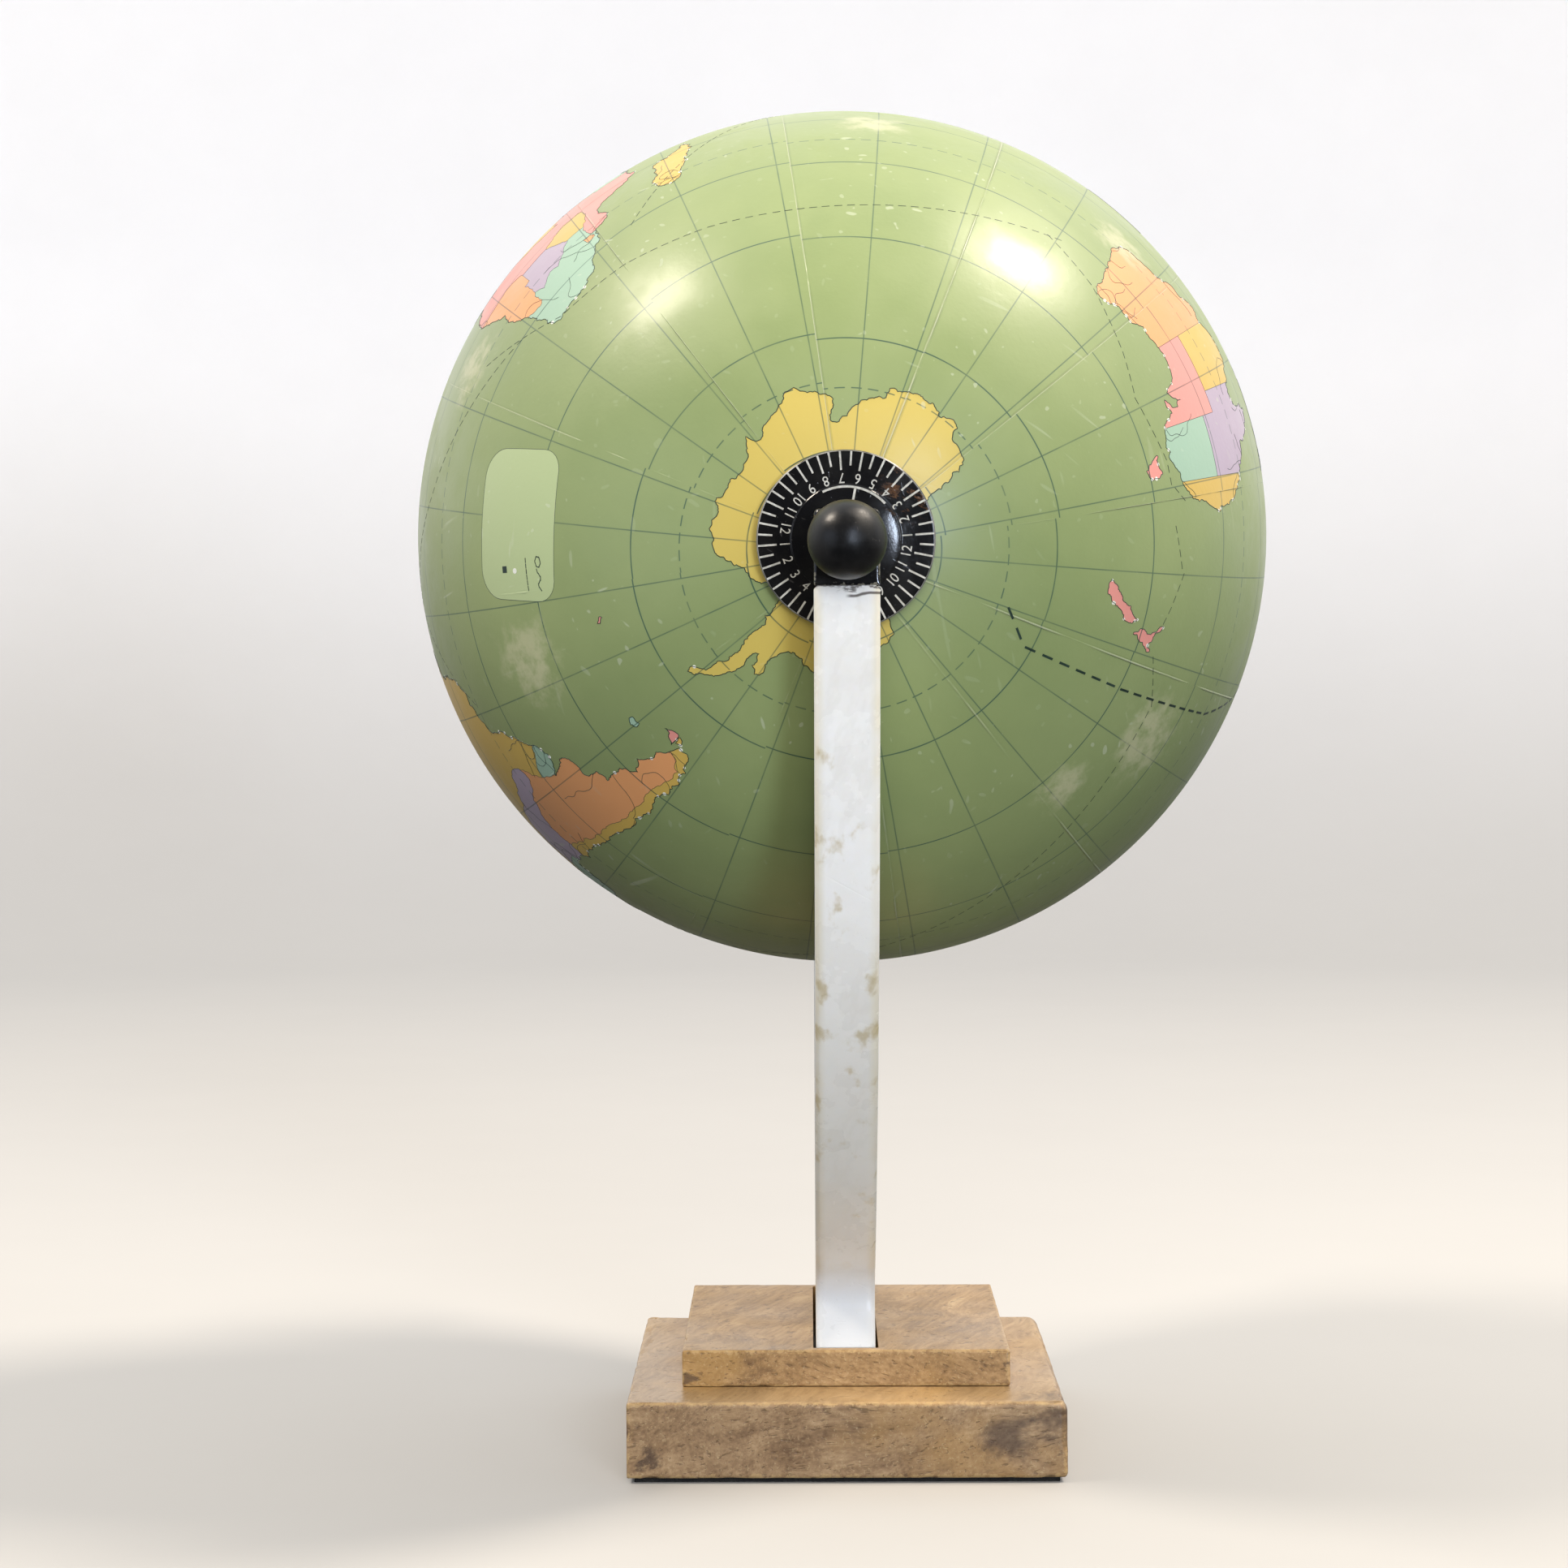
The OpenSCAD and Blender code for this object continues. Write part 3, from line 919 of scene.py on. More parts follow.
@dataclass(frozen=True)
class PrintedMap(Finish):
    """Map sheets under gloss lacquer: sea and land tints, graticule, seams with a painted highlight and a
    painted shadow where the paper lifts, scuffs and scratches.
    """

    sea_light: str = "#95a26d"
    sea_dark: str = "#82925f"
    line: str = "#2c4f46"
    # Painted highlight along the seams where the paper lifts, and the painted shadow beside it
    seam: str = "#d3d9b8"
    seam_shadow: str = "#4e6241"
    scuff: str = "#c9c6a2"
    scratch: str = "#cdd3bd"
    line_half: float = 0.085
    mesh_step: float = 15.0
    shrink: float = 3.4
    slip: float = 1.1
    gore: float = 30.0
    gore_start: float = 2.0
    dashed: tuple[Point, ...] = ((23.5, 6.0), (66.5, 2.2))
    scuffs: tuple[Triple, ...] = ()

    def make(self, globe: GlobePlan) -> Material:
        """Builds the finish.

        Args:
            globe: Where a longitude and latitude lie.

        Returns:
            The material.
        """
        nodes, place = self.begin()
        land = nodes.stored("land", "Fac")
        patch = place.through(Effects.mottle(), Scale=22.0, Sharpness=0.4)[0]
        base = nodes.mix(patch, self.sea_dark, self.sea_light).tinted(land, nodes.stored("print", "Color"))
        local = place.moved(globe.frame.centre, globe.print_axes.to_euler())
        x, y, z = nodes.value("ShaderNodeVectorMath", {0: local}, operation="NORMALIZE").parts()
        lon = nodes.math("ARCTAN2", y, x) * degrees(1)
        spread = nodes.math("SQRT", 1.0 - z * z)
        colat = 90.0 - abs(nodes.math("ARCSINE", z) * degrees(1))
        sheet = nodes.math("FLOOR", (lon - self.gore_start) / self.gore)
        chance = nodes.value("ShaderNodeTexWhiteNoise", {1: sheet}, noise_dimensions="1D")
        shrunk = (1.0 - nodes.math("POWER", colat / 90.0, 3.0)) * self.shrink
        printed = colat + shrunk + (chance - 0.5) * self.slip

        ink = self._graticule(nodes, lon, spread, printed) * land.band(1.8, 1.2)
        base = base.tinted(ink * place.noise(90.0).band(0.25, 0.6, 0.55, 0.9), self.line)
        seam = self._beside(lon - self.gore_start, self.gore) * spread
        # Where the paper lifts at a seam: a raised ridge, with a painted highlight on it and a painted shadow
        # beside it
        lifted = (place.noise(55.0, 4.0, 0.6) + chance * 0.35).band(0.6, 0.86)
        seam_ridge_highlight = seam.band(0.16, 0.05) * lifted
        base = base.tinted(seam_ridge_highlight * 0.5, self.seam)
        base = base.tinted(abs(seam - 0.26).band(0.1, 0.02) * lifted * 0.25, self.seam_shadow)
        cloud: Value | float = 0.0
        for lon_at, lat_at, radius in self.scuffs:
            spot = globe.place(direction(lon_at, lat_at), globe.frame.globe_r)
            worn = place.through(Effects.scuffs(), Spot=spot, Radius=radius * MM)[0]
            cloud = nodes.math("MAXIMUM", cloud, worn)
        height, haze = place.through(Effects.skin(), Scale=110.0)
        scratches = place.through(Effects.scratches(), Scale=150.0, Amount=1.0)[0]
        base = base.tinted(cloud * 0.6, self.scuff).tinted(scratches * 0.35, self.scratch)
        rough = self.varied(haze, 0.85, 1.2) + scratches * 0.2
        return self.end(base, rough, height * 0.5 + seam_ridge_highlight * 1.6, 0.00017)

    @staticmethod
    def _beside(value: Value, step: float) -> Value:
        """Distance of a value from the nearest multiple of a step."""
        return abs(value.nodes.math("FRACT", value / step + 0.5) - 0.5) * step

    def _graticule(self, nodes: Nodes, lon: Value, spread: Value, printed: Value) -> Value:
        """The mesh of meridians and circles, with the dashed tropics and polar circles.

        Args:
            nodes: The writer of the tree.
            lon: Longitude.
            spread: How far the meridians stand apart, as a share of the equator's distance.
            printed: Degrees from the pole on the printed sheets.

        Returns:
            Where there is a line.
        """
        half = self.line_half
        circles = self._beside(printed, self.mesh_step).band(half * 1.5, half * 0.5)
        meridians = (self._beside(lon, self.mesh_step) * spread).band(half * 1.4, half * 0.4, 0.0, 0.75)
        lines = nodes.math("MAXIMUM", circles, meridians)
        for value, period in self.dashed:
            dash = nodes.math("FRACT", lon / period).band(0.6, 0.66, 1.0, 0.0)
            shown = abs(printed - value).band(half * 1.4, half * 0.5) * dash
            lines = nodes.math("MAXIMUM", lines, shown * 0.9)
        return lines


@dataclass(frozen=True)
class TapePrint(Finish):
    """The paper band over the seam of the two halves, with a chequered line along its middle."""

    ink: str = "#23302a"
    paper: str = "#d8d8c4"

    def make(self, globe: GlobePlan) -> Material:
        """Builds the finish.

        Args:
            globe: Where a longitude and latitude lie.

        Returns:
            The material.
        """
        nodes, place = self.begin()
        x, y, z = place.moved(globe.frame.centre, globe.axes.to_euler()).parts()
        lon = nodes.math("ARCTAN2", y, x) * degrees(1)
        patch = place.through(Effects.mottle(), Scale=60.0)[0]
        base = nodes.mix(patch, "#6f8a52", "#86a066")
        line = nodes.mix(nodes.math("FRACT", lon / 10.0).band(0.495, 0.505), self.ink, self.paper)
        base = base.tinted(abs(z).band(0.00045, 0.00035), line)
        base = base.tinted(abs(abs(z) - 0.00055).band(0.00012, 0.00006), self.ink)
        return self.end(base, None, patch, 0.00002)


# ---- geometry node trees


@dataclass
class NodeTool:
    """A geometry node tree with named sizes, which is baked into a plain mesh."""

    name: str
    sizes: dict[str, float]
    material: Material
    tree: Tree = field(init=False)

    def __post_init__(self) -> None:
        """Builds the tree: named inputs, the tool's own nodes, then real geometry in its material."""
        self.tree = bpy.data.node_groups.new(self.name, "GeometryNodeTree")
        sockets = self.tree.interface
        sockets.new_socket("Geometry", in_out="INPUT", socket_type="NodeSocketGeometry")
        for key, size in self.sizes.items():
            kind = "NodeSocketInt" if isinstance(size, int) else "NodeSocketFloat"
            sockets.new_socket(key, in_out="INPUT", socket_type=kind)
        sockets.new_socket("Geometry", in_out="OUTPUT", socket_type="NodeSocketGeometry")
        nodes = Nodes(self.tree)
        start = nodes.add("NodeGroupInput")
        given = {key: Value(nodes, start.outputs[key]) for key in ("Geometry", *self.sizes)}
        real = nodes.value("GeometryNodeRealizeInstances", {0: self.draw(nodes, given)})
        finished = nodes.value("GeometryNodeSetMaterial", {0: real, "Material": self.material})
        nodes.add("NodeGroupOutput", {0: finished})

    def draw(self, nodes: Nodes, given: dict[str, Value]) -> Value:
        """Writes the tool's own nodes and gives their geometry."""
        raise NotImplementedError

    def bake(self, name: str, mesh: Mesh) -> Piece:
        """Runs the tree on a mesh.

        Args:
            name: Name of the piece.
            mesh: What the tree starts from.

        Returns:
            The piece, with a plain mesh and no modifier.
        """
        piece = linked(name, mesh)
        modifier = piece.modifiers.new(self.name, "NODES")
        modifier.node_group = self.tree
        for item in self.tree.interface.items_tree:
            if item.in_out == "INPUT" and item.name in self.sizes:
                modifier[item.identifier] = self.sizes[item.name]
        baked = evaluated(piece)
        piece.modifiers.clear()
        piece.data = baked
        baked.name = name
        return piece


def sized_bar(nodes: Nodes, given: dict[str, Value]) -> Value:
    """A bar of the tool's "Length", "Width" and "Thickness"."""
    sides = {"X": given["Length"], "Y": given["Width"], "Z": given["Thickness"]}
    return nodes.value("GeometryNodeMeshCube", {"Size": nodes.value("ShaderNodeCombineXYZ", sides)})


class InkLines(NodeTool):
    """Draws a mesh's edges as thin round lines, with the size "Line Radius"."""

    def draw(self, nodes: Nodes, given: dict[str, Value]) -> Value:
        """Draws a thin ring along each edge.

        Args:
            nodes: The tree's writer.
            given: Its inputs.

        Returns:
            The lines.
        """
        path = nodes.value("GeometryNodeMeshToCurve", {0: given["Geometry"]})
        ring = nodes.value("GeometryNodeCurvePrimitiveCircle", {
            "Resolution": 5, "Radius": given["Line Radius"]})
        return nodes.value("GeometryNodeCurveToMesh", {"Curve": path, "Profile Curve": ring})


class MarkShape(Enum):
    """The shapes of small printed marks."""

    BAR = "bar"
    DOT = "dot"


@dataclass
class PlacedMarks(NodeTool):
    """Sets a bar or a dot on every vertex, turned and scaled by the vertex's own values."""

    shape: MarkShape = MarkShape.BAR

    def draw(self, nodes: Nodes, given: dict[str, Value]) -> Value:
        """Draws the marks, with the sizes "Length", "Width" and "Thickness".

        Args:
            nodes: The tree's writer.
            given: Its inputs.

        Returns:
            The marks.
        """
        if self.shape is MarkShape.BAR:
            mark = sized_bar(nodes, given)
        else:
            mark = nodes.value("GeometryNodeMeshCylinder", {
                "Vertices": 14, "Radius": given["Width"] * 0.5, "Depth": given["Thickness"]})
        turn = nodes.value("GeometryNodeInputNamedAttribute", {"Name": "turn"}, data_type="FLOAT_VECTOR")
        grow = nodes.value("GeometryNodeInputNamedAttribute", {"Name": "grow"}, data_type="FLOAT")
        return nodes.value("GeometryNodeInstanceOnPoints", {
            "Points": given["Geometry"], "Instance": mark, "Rotation": turn, "Scale": grow})

    def place(self, name: str, spots: Sequence[Mark], scales: Sequence[float] = ()) -> Piece:
        """Sets the marks.

        Args:
            name: Name of the piece.
            spots: Place, outward normal and direction of each mark.
            scales: Scale of each mark, or nothing where all are one.

        Returns:
            The baked piece.
        """
        mesh = mesh_of(name, [spot for spot, _, _ in spots])
        turns: list[float] = []
        for _, out, along in spots:
            ahead = (along - out * along.dot(out)).normalized()
            turns.extend(Matrix((ahead, out.cross(ahead), out)).transposed().to_euler())
        mesh.attributes.new("turn", "FLOAT_VECTOR", "POINT").data.foreach_set("vector", turns)
        mesh.attributes.new("grow", "FLOAT", "POINT").data.foreach_set("value", scales or [1.0] * len(spots))
        return self.bake(name, mesh)


class TickRing(NodeTool):
    """A ring of radial ticks that end at one outer radius."""

    def draw(self, nodes: Nodes, given: dict[str, Value]) -> Value:
        """Draws the ticks, with the sizes "Count", "Outer Radius", "Start Angle" and those of a bar.

        Args:
            nodes: The tree's writer.
            given: Its inputs.

        Returns:
            The ticks.
        """
        middle = given["Outer Radius"] - given["Length"] * 0.5
        step = nodes.math("DIVIDE", 2 * pi, given["Count"])
        angle = given["Start Angle"] + nodes.value("GeometryNodeInputIndex") * step
        spot = nodes.value("ShaderNodeCombineXYZ", {
            "X": middle * nodes.math("COSINE", angle), "Y": middle * nodes.math("SINE", angle)})
        points = nodes.value("GeometryNodePoints", {"Count": given["Count"], "Position": spot})
        turn = nodes.value("ShaderNodeCombineXYZ", {"Z": angle})
        return nodes.value("GeometryNodeInstanceOnPoints", {
            "Points": points, "Instance": sized_bar(nodes, given), "Rotation": turn})


# ---- studio


@dataclass
class Studio:
    """Pale round sweep, soft lights and the camera."""

    frame: Frame
    eye: Triple = (-7.0, -718.2, 159.3)
    turns: Triple = (0.42, 88.15, -0.24)
    lens: float = 78.26
    sensor: float = 36.0
    floor_r: float = 1.15
    sweep_r: float = 0.45
    wall_h: float = 1.7
    board: float = 0.02
    target: Triple = (0.0, 0.0, 0.15)
    lamps: tuple[tuple[str, Triple, float, float, float, str], ...] = (
        ("lamp_left", (-0.603, -0.137, 0.784), 1.55, 0.42, 15.5, "#fff1df"),
        ("lamp_right", (0.538, 0.009, 0.842), 1.55, 0.40, 23.0, "#fff1df"),
        ("fill", (0.12, -0.95, 0.28), 2.6, 2.2, 48.0, "#fffaf2"))
    sky: tuple[tuple[float, str], ...] = (
        (0.0, "#3c3a38"), (0.36, "#5c5955"), (0.47, "#a3a4a5"), (0.6, "#c9ccd0"), (1.0, "#dfe1e4"))
    glows: tuple[tuple[Triple, float, float], ...] = (
        ((0.31, -0.91, 0.27), 7.0, 8.0), ((0.31, -0.95, 0.02), 5.5, 30.0), ((-0.80, -0.60, 0.08), 22.0, 0.8))
    glow_tint: str = "#dbe9ff"
    glow_soft: float = 0.7
    sky_strength: float = 1.25

    def build(self) -> list[Piece]:
        """Makes the camera, the surroundings, the stage and the lamps.

        Returns:
            Nothing, because none of them is a piece.
        """
        bpy.context.scene.view_settings.view_transform = "Standard"
        self._camera()
        self._surroundings()
        self._stage()
        self._lights()
        return []

    def _camera(self) -> None:
        """Sets the camera up from its place and its three turns."""
        data = bpy.data.cameras.new("camera")
        data.lens = self.lens
        data.sensor_width = self.sensor
        data.clip_start = 0.01
        camera = linked("camera", data)
        yaw, pitch, roll = (Matrix.Rotation(radians(turn), 4, axis) for turn, axis in zip(self.turns, "ZXZ"))
        camera.matrix_world = Matrix.Translation(Vector(self.eye) * MM) @ yaw @ pitch @ roll
        bpy.context.scene.camera = camera

    def _surroundings(self) -> None:
        """Makes a pale sky over a dark table top, with the glows that the gloss reflects."""
        world = bpy.data.worlds.new("room")
        world.use_nodes = True
        bpy.context.scene.world = world
        nodes = Nodes(world.node_tree)
        place = nodes.coordinates("Generated")
        _, y, z = place.parts()
        shade = nodes.ramp(z * 0.5 + 0.5, self.sky)
        shade = shade.tinted(y.band(0.1, 0.7) * z.band(-0.08, 0.12) * 0.8, "#ffffff")
        shade = shade.tinted(y.band(0.15, -0.6, 0.0, 0.9), "#1c1b1a")
        for way, reach, strength in self.glows:
            toward = nodes.value("ShaderNodeVectorMath", {0: place, 1: Vector(way).normalized()}, "Value",
                                 operation="DOT_PRODUCT")
            edge = cos(radians(reach))
            tint = [part * strength for part in colour(self.glow_tint)[:3]]
            shade = shade.tinted(toward.band(edge, 1 - (1 - edge) * self.glow_soft), (*tint, 1.0))
        light = nodes.value("ShaderNodeBackground", {"Color": shade, "Strength": self.sky_strength})
        nodes.add("ShaderNodeOutputWorld", {"Surface": light})

    def _stage(self) -> None:
        """Makes the floor, which curves up into a round wall."""
        wall, back = self.floor_r + self.sweep_r, self.floor_r + self.sweep_r + self.board
        profile = [(0.0, 0.0), (self.floor_r, 0.0)]
        for turn in (pi / 2 * k / 12 for k in range(1, 13)):
            profile.append((self.floor_r + self.sweep_r * sin(turn), self.sweep_r * (1 - cos(turn))))
        profile += [(wall, self.wall_h), (back, self.wall_h), (back, -self.board), (0.0, -self.board)]
        sweep = lathe("floor", profile, Matrix(), 96)
        sweep.data.materials.append(SweepPaint("matt_paint", 0.75).make())
        sweep.visible_diffuse = sweep.visible_glossy = sweep.visible_shadow = False

    def _lights(self) -> None:
        """Makes the round lamps, which face the object."""
        for name, way, far, width, power, shade in self.lamps:
            data = bpy.data.lights.new(name, "AREA")
            data.shape = "DISK"
            data.size = width
            data.energy = power
            data.color = colour(shade)[:3]
            lamp = linked(name, data)
            lamp.visible_glossy = name != "fill"
            spot = self.frame.centre + Vector(way).normalized() * far
            facing = (spot - Vector(self.target)).to_track_quat("Z", "Y").to_matrix().to_4x4()
            lamp.matrix_world = Matrix.Translation(spot) @ facing


# ---- worn blocks


@dataclass
class WornBlock:
    """A block with softened, slightly worn edges, built on a grid that is finer near its edges."""

    low: Vector
    high: Vector
    rounding: Callable[[Vector, Vector], float]
    stand: Matrix = field(default_factory=Matrix)
    fine: float = 1.6
    cell: float = 2.2
    steps: int = 5
    wave: float = 0.03
    wear: float = 0.12
    seed: float = 0.0
    least_round: float = 0.1
    ragged_cells: float = 260.0
    wave_cells: float = 90.0
    chip_cells: float = 420.0
    chip_from: float = 0.25

    def build(self, name: str) -> Piece:
        """Builds the block.

        Args:
            name: Name of the piece.

        Returns:
            The piece, with its edges marked in the attribute "edge".
        """
        half, middle = (self.high - self.low) / 2, (self.high + self.low) / 2
        lines = [self._lines(size) for size in half]
        shape = bmesh.new()

        @cache
        def corner(*key: int) -> bmesh.types.BMVert:
            """The vertex at a place of the grid, made once."""
            spot = Vector([lines[axis][k] for axis, k in enumerate(key)])
            return shape.verts.new(middle + self._softened(spot, half))

        around = ((0, 0), (1, 0), (1, 1), (0, 1))
        for axis in range(3):
            a, b = (axis + 1) % 3, (axis + 2) % 3
            for end in (0, len(lines[axis]) - 1):
                for i in range(len(lines[a]) - 1):
                    for j in range(len(lines[b]) - 1):
                        keys = ({axis: end, a: i + da, b: j + db} for da, db in around)
                        face = [corner(key[0], key[1], key[2]) for key in keys]
                        shape.faces.new(face if end else face[::-1])
        piece = linked(name, settled(shape, name, self.stand))
        piece.data.shade_smooth()
        self.mark_edges(piece)
        return piece

    def mark_edges(self, piece: Piece, reach: float = 1.3) -> None:
        """Stores how near each vertex lies to an edge of the block.

        Args:
            piece: The piece.
            reach: Distance in millimetres at which an edge no longer counts.
        """
        attributes = piece.data.attributes
        marks = attributes.get("edge") or attributes.new("edge", "FLOAT", "POINT")
        back = self.stand.inverted()
        for vertex, mark in zip(piece.data.vertices, marks.data):
            spot = back @ vertex.co
            gaps = sorted(min(spot[k] - self.low[k], self.high[k] - spot[k]) for k in range(3))
            mark.value = max(0.0, 1.0 - max(gaps[1], 0.0) / (reach * MM))

    def _lines(self, half: float) -> list[float]:
        """Places of the grid lines along one axis.

        Args:
            half: Half the block's length there.

        Returns:
            The places.
        """
        fine = min(self.fine * MM, half * 0.45)
        inner = half - fine
        count = max(2, round(2 * inner / (self.cell * MM)))
        flat = [-inner + 2 * inner * i / count for i in range(count + 1)]
        bends = [fine * tan(radians(45 * k / self.steps)) for k in range(1, self.steps + 1)]
        return [-inner - b for b in reversed(bends)] + flat + [inner + b for b in bends]

    def _softened(self, spot: Vector, half: Vector) -> Vector:
        """Moves a point of the plain block onto the rounded and worn one.

        Args:
            spot: The point, from the block's middle.
            half: Half the block's sides.

        Returns:
            Its new place.
        """
        radius = self.rounding(spot, half) * MM
        grain = Vector((self.seed, self.seed * 2, 0))
        ragged = noise.fractal(spot * self.ragged_cells + grain, 0.8, 2.2, 4)
        radius = max(self.least_round * MM, radius + min(radius, MM) * 0.5 * ragged)
        core = Vector([max(-h + radius, min(h - radius, s)) for s, h in zip(spot, half)])
        arm = spot - core
        chip = 0.0
        if sum(abs(part) > TINY for part in arm) > 1:
            spot = core + arm.normalized() * radius
            chips = noise.fractal(spot * self.chip_cells + grain * 3, 0.6, 2.0, 3)
            chip = max(0.0, chips - self.chip_from)
        waves = 0.5 + 0.5 * noise.noise(spot * self.wave_cells + grain)
        return spot - arm.normalized() * (self.wave * MM * waves + chip * self.wear * MM * 3)


# ---- wooden base


@dataclass
class WoodenBase:
    """The two tiers of wood."""

    frame: Frame
    slot_clear: float = 0.6
    corner_from: float = 0.93
    plinth_left: float = 0.8
    plinth_front: float = 0.6
    plinth_other: float = 2.6
    step_round: float = 0.5

    def build(self) -> list[Piece]:
        """Builds both tiers, the upper one with the slot of the foot.

        Returns:
            The pieces.
        """
        plinth = WornBlock(*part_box("base_plinth"), self._plinth_round, fine=3.0, steps=7, wear=0.35, seed=3.1)
        block = WornBlock(*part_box("base_step"), lambda spot, half: self.step_round, fine=1.0, wear=0.2,
                          seed=8.4)
        pieces = [plinth.build("plinth_wood"), block.build("step_wood")]
        step = pieces[1]
        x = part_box("cradle")[1].x + self.slot_clear * MM
        y = self.frame.foot_half(block.high.z) + self.slot_clear * MM
        slot = bmesh.new()
        add_solid(slot, [[Vector((-x, -y, z)), Vector((x, -y, z)), Vector((x, y, z)), Vector((-x, y, z))]
                         for z in (block.low.z - MM, block.high.z + MM)])
        cut(step, linked("slot", settled(slot, "slot", Matrix())))
        block.mark_edges(step)
        smoothed(step.data, 40)
        lower_wood = OiledWood(
            "plinth_wood", 0.42, coat=0.1, coat_roughness=0.25, specular=0.4,
            knots=((32, -52, 9, 7.0), (42, -47, 12, 9.0), (-38, -52, 4.5, 3.0), (22, 12, 16, 4.0)))
        upper_wood = OiledWood(
            "step_wood", 0.45, coat=0.06, coat_roughness=0.25, specular=0.35, angle=74.0, roll=9.0, top_sheen_share=0.05,
            knots=((33, -37, 21, 2.0), (-33, -36, 19, 2.6)), gold="#ac874e",
            tones=("#765b3d", "#93744c", "#ad8c61", "#c4a77b"))
        for piece, wood, node in zip(pieces, (lower_wood, upper_wood), ("base_plinth", "base_step")):
            dressed(piece, wood.make(), "stand", node)
        return pieces

    def _plinth_round(self, spot: Vector, half: Vector) -> float:
        """Rounding of the lower tier: hard at the front, soft at the back and right.

        Args:
            spot: A point of the tier, from its middle.
            half: Half the tier's sides.

        Returns:
            The radius in millimetres.
        """
        across, deep = (spot.x / half.x + 1) / 2, (spot.y / half.y + 1) / 2
        side = self.plinth_left + (self.plinth_other - self.plinth_left) * across**2
        front = self.plinth_front + (self.plinth_other - self.plinth_front) * min(1.0, deep * 1.5)
        near_front = max(0.0, 1 - deep * 8)
        near_side = max(abs(spot.x / half.x) - self.corner_from, 0.0) / (1 - self.corner_from)
        blend = near_side * (1 - near_front * (1 - across * 0.6))
        return (front * (1 - blend) + side * blend) * (0.5 if spot.z < 0 else 1.0)


# ---- stone cradle


@dataclass
class StoneCradle:
    """The stone crescent, cut from one slab, with its foot in the slot of the base."""

    frame: Frame
    outer_curve_r: float = 218.0
    ankle_half: float = 29.0
    ankle_h: float = 11.4
    foot_sweep_r: float = 22.0
    chamfer: float = 0.9
    uneven: float = 0.07
    uneven_cells: float = 55.0

    def build(self) -> list[Piece]:
        """Builds the crescent.

        Returns:
            The piece.
        """
        low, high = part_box("cradle")
        half = (high.x - low.x) / 2
        joint = self.frame.box_in("tip_block_south", self.frame.crescent())[0].z
        outer = self._outline(joint)
        c = self.chamfer * MM
        soft = [(0.0, c), (0.14 * c, 0.72 * c), (0.72 * c, 0.14 * c), (c, 0.0)]
        levels = [(deep - half, inset) for deep, inset in soft] + [(x * half / 3, 0.0) for x in range(-2, 3)]
        levels += [(half - deep, inset) for deep, inset in reversed(soft)]
        shape = bmesh.new()
        add_solid(shape, [[self._weathered(Vector((x, *spot))) for spot in self._inset(outer, inset)]
                          for x, inset in levels])
        mesh = settled(shape, "crescent_stone", Matrix.Translation(self.frame.centre))
        smoothed(mesh, 28)
        stone = PolishedStone("polished_stone", 0.30, subsurface=0.18, coat=0.15, coat_roughness=0.2,
                              subsurface_radius=(0.006, 0.005, 0.004), subsurface_scale=1.0)
        finish = stone.make(self.frame, joint, half)
        return [dressed(linked("crescent_stone", mesh), finish, "stand", "cradle")]

    def _weathered(self, spot: Vector) -> Vector:
        """A point of the surface, a little inside its plain place."""
        shift = noise.fractal(spot * self.uneven_cells, 0.9, 2.1, 3) * self.uneven * MM
        return spot - Vector((0, spot.y, spot.z)).normalized() * abs(shift)

    def _outline(self, joint: float) -> list[Vector]:
        """The crescent's outline in the plane of the slab.

        Args:
            joint: Height of the joints with the tip blocks, in the crescent's axes.

        Returns:
            Its points, anticlockwise seen from the right.
        """
        frame = self.frame
        inner, reach = frame.reach("tip_block_south", 1)
        bottom, top = (corner.z - frame.centre.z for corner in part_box("base_step"))
        foot = frame.foot_half(top + frame.centre.z - MM)
        turn = Matrix.Rotation(atan2(frame.north.z, frame.north.y), 2)
        tip = sqrt(inner**2 - joint**2)
        (in_s, out_s, ankle_s, foot_s), (in_n, out_n, ankle_n, foot_n) = (
            (turn @ Vector((side * tip, joint)), turn @ Vector((side * reach, joint)),
             Vector((side * self.ankle_half * MM, top + self.ankle_h * MM)), Vector((side * foot, top)))
            for side in (-1, 1))
        crotch = Vector((0.0, -inner))
        outer_r, sweep_r = self.outer_curve_r * MM, self.foot_sweep_r * MM
        outer = [
            *self._bow(ankle_n, out_n, outer_r, 80), out_n,
            *self._bow(in_n, crotch, -inner, 110), *self._bow(crotch, in_s, -inner, 110), in_s,
            *self._bow(out_s, ankle_s, outer_r, 80), *self._bow(ankle_s, foot_s, -sweep_r, 12),
            foot_s, Vector((-foot, bottom)), Vector((foot, bottom)), *self._bow(foot_n, ankle_n, -sweep_r, 12)]
        near = [i for i, p in enumerate(outer) if min((p - ankle_s).length, (p - ankle_n).length) < 4 * MM]
        for _ in range(10):
            eased = [(outer[i - 1] + outer[i] * 2 + outer[(i + 1) % len(outer)]) / 4 for i in near]
            for i, spot in zip(near, eased):
                outer[i] = spot
        return outer

    @staticmethod
    def _bow(a: Vector, b: Vector, radius: float, steps: int) -> list[Vector]:
        """Points of an arc from one point to another, without the last.

        Args:
            a: Where it starts.
            b: Where it ends.
            radius: Its radius, negative where the centre lies to the right of the way.
            steps: Number of points.

        Returns:
            The points.
        """
        way = b - a
        away = sqrt(radius**2 - way.length_squared / 4) * (1 if radius > 0 else -1)
        centre = (a + b) / 2 + way.orthogonal().normalized() * away
        start, end = (atan2(spot.y - centre.y, spot.x - centre.x) for spot in (a, b))
        sweep = (end - start + pi) % (2 * pi) - pi
        return [centre + heading(start + sweep * i / steps) * abs(radius) for i in range(steps)]

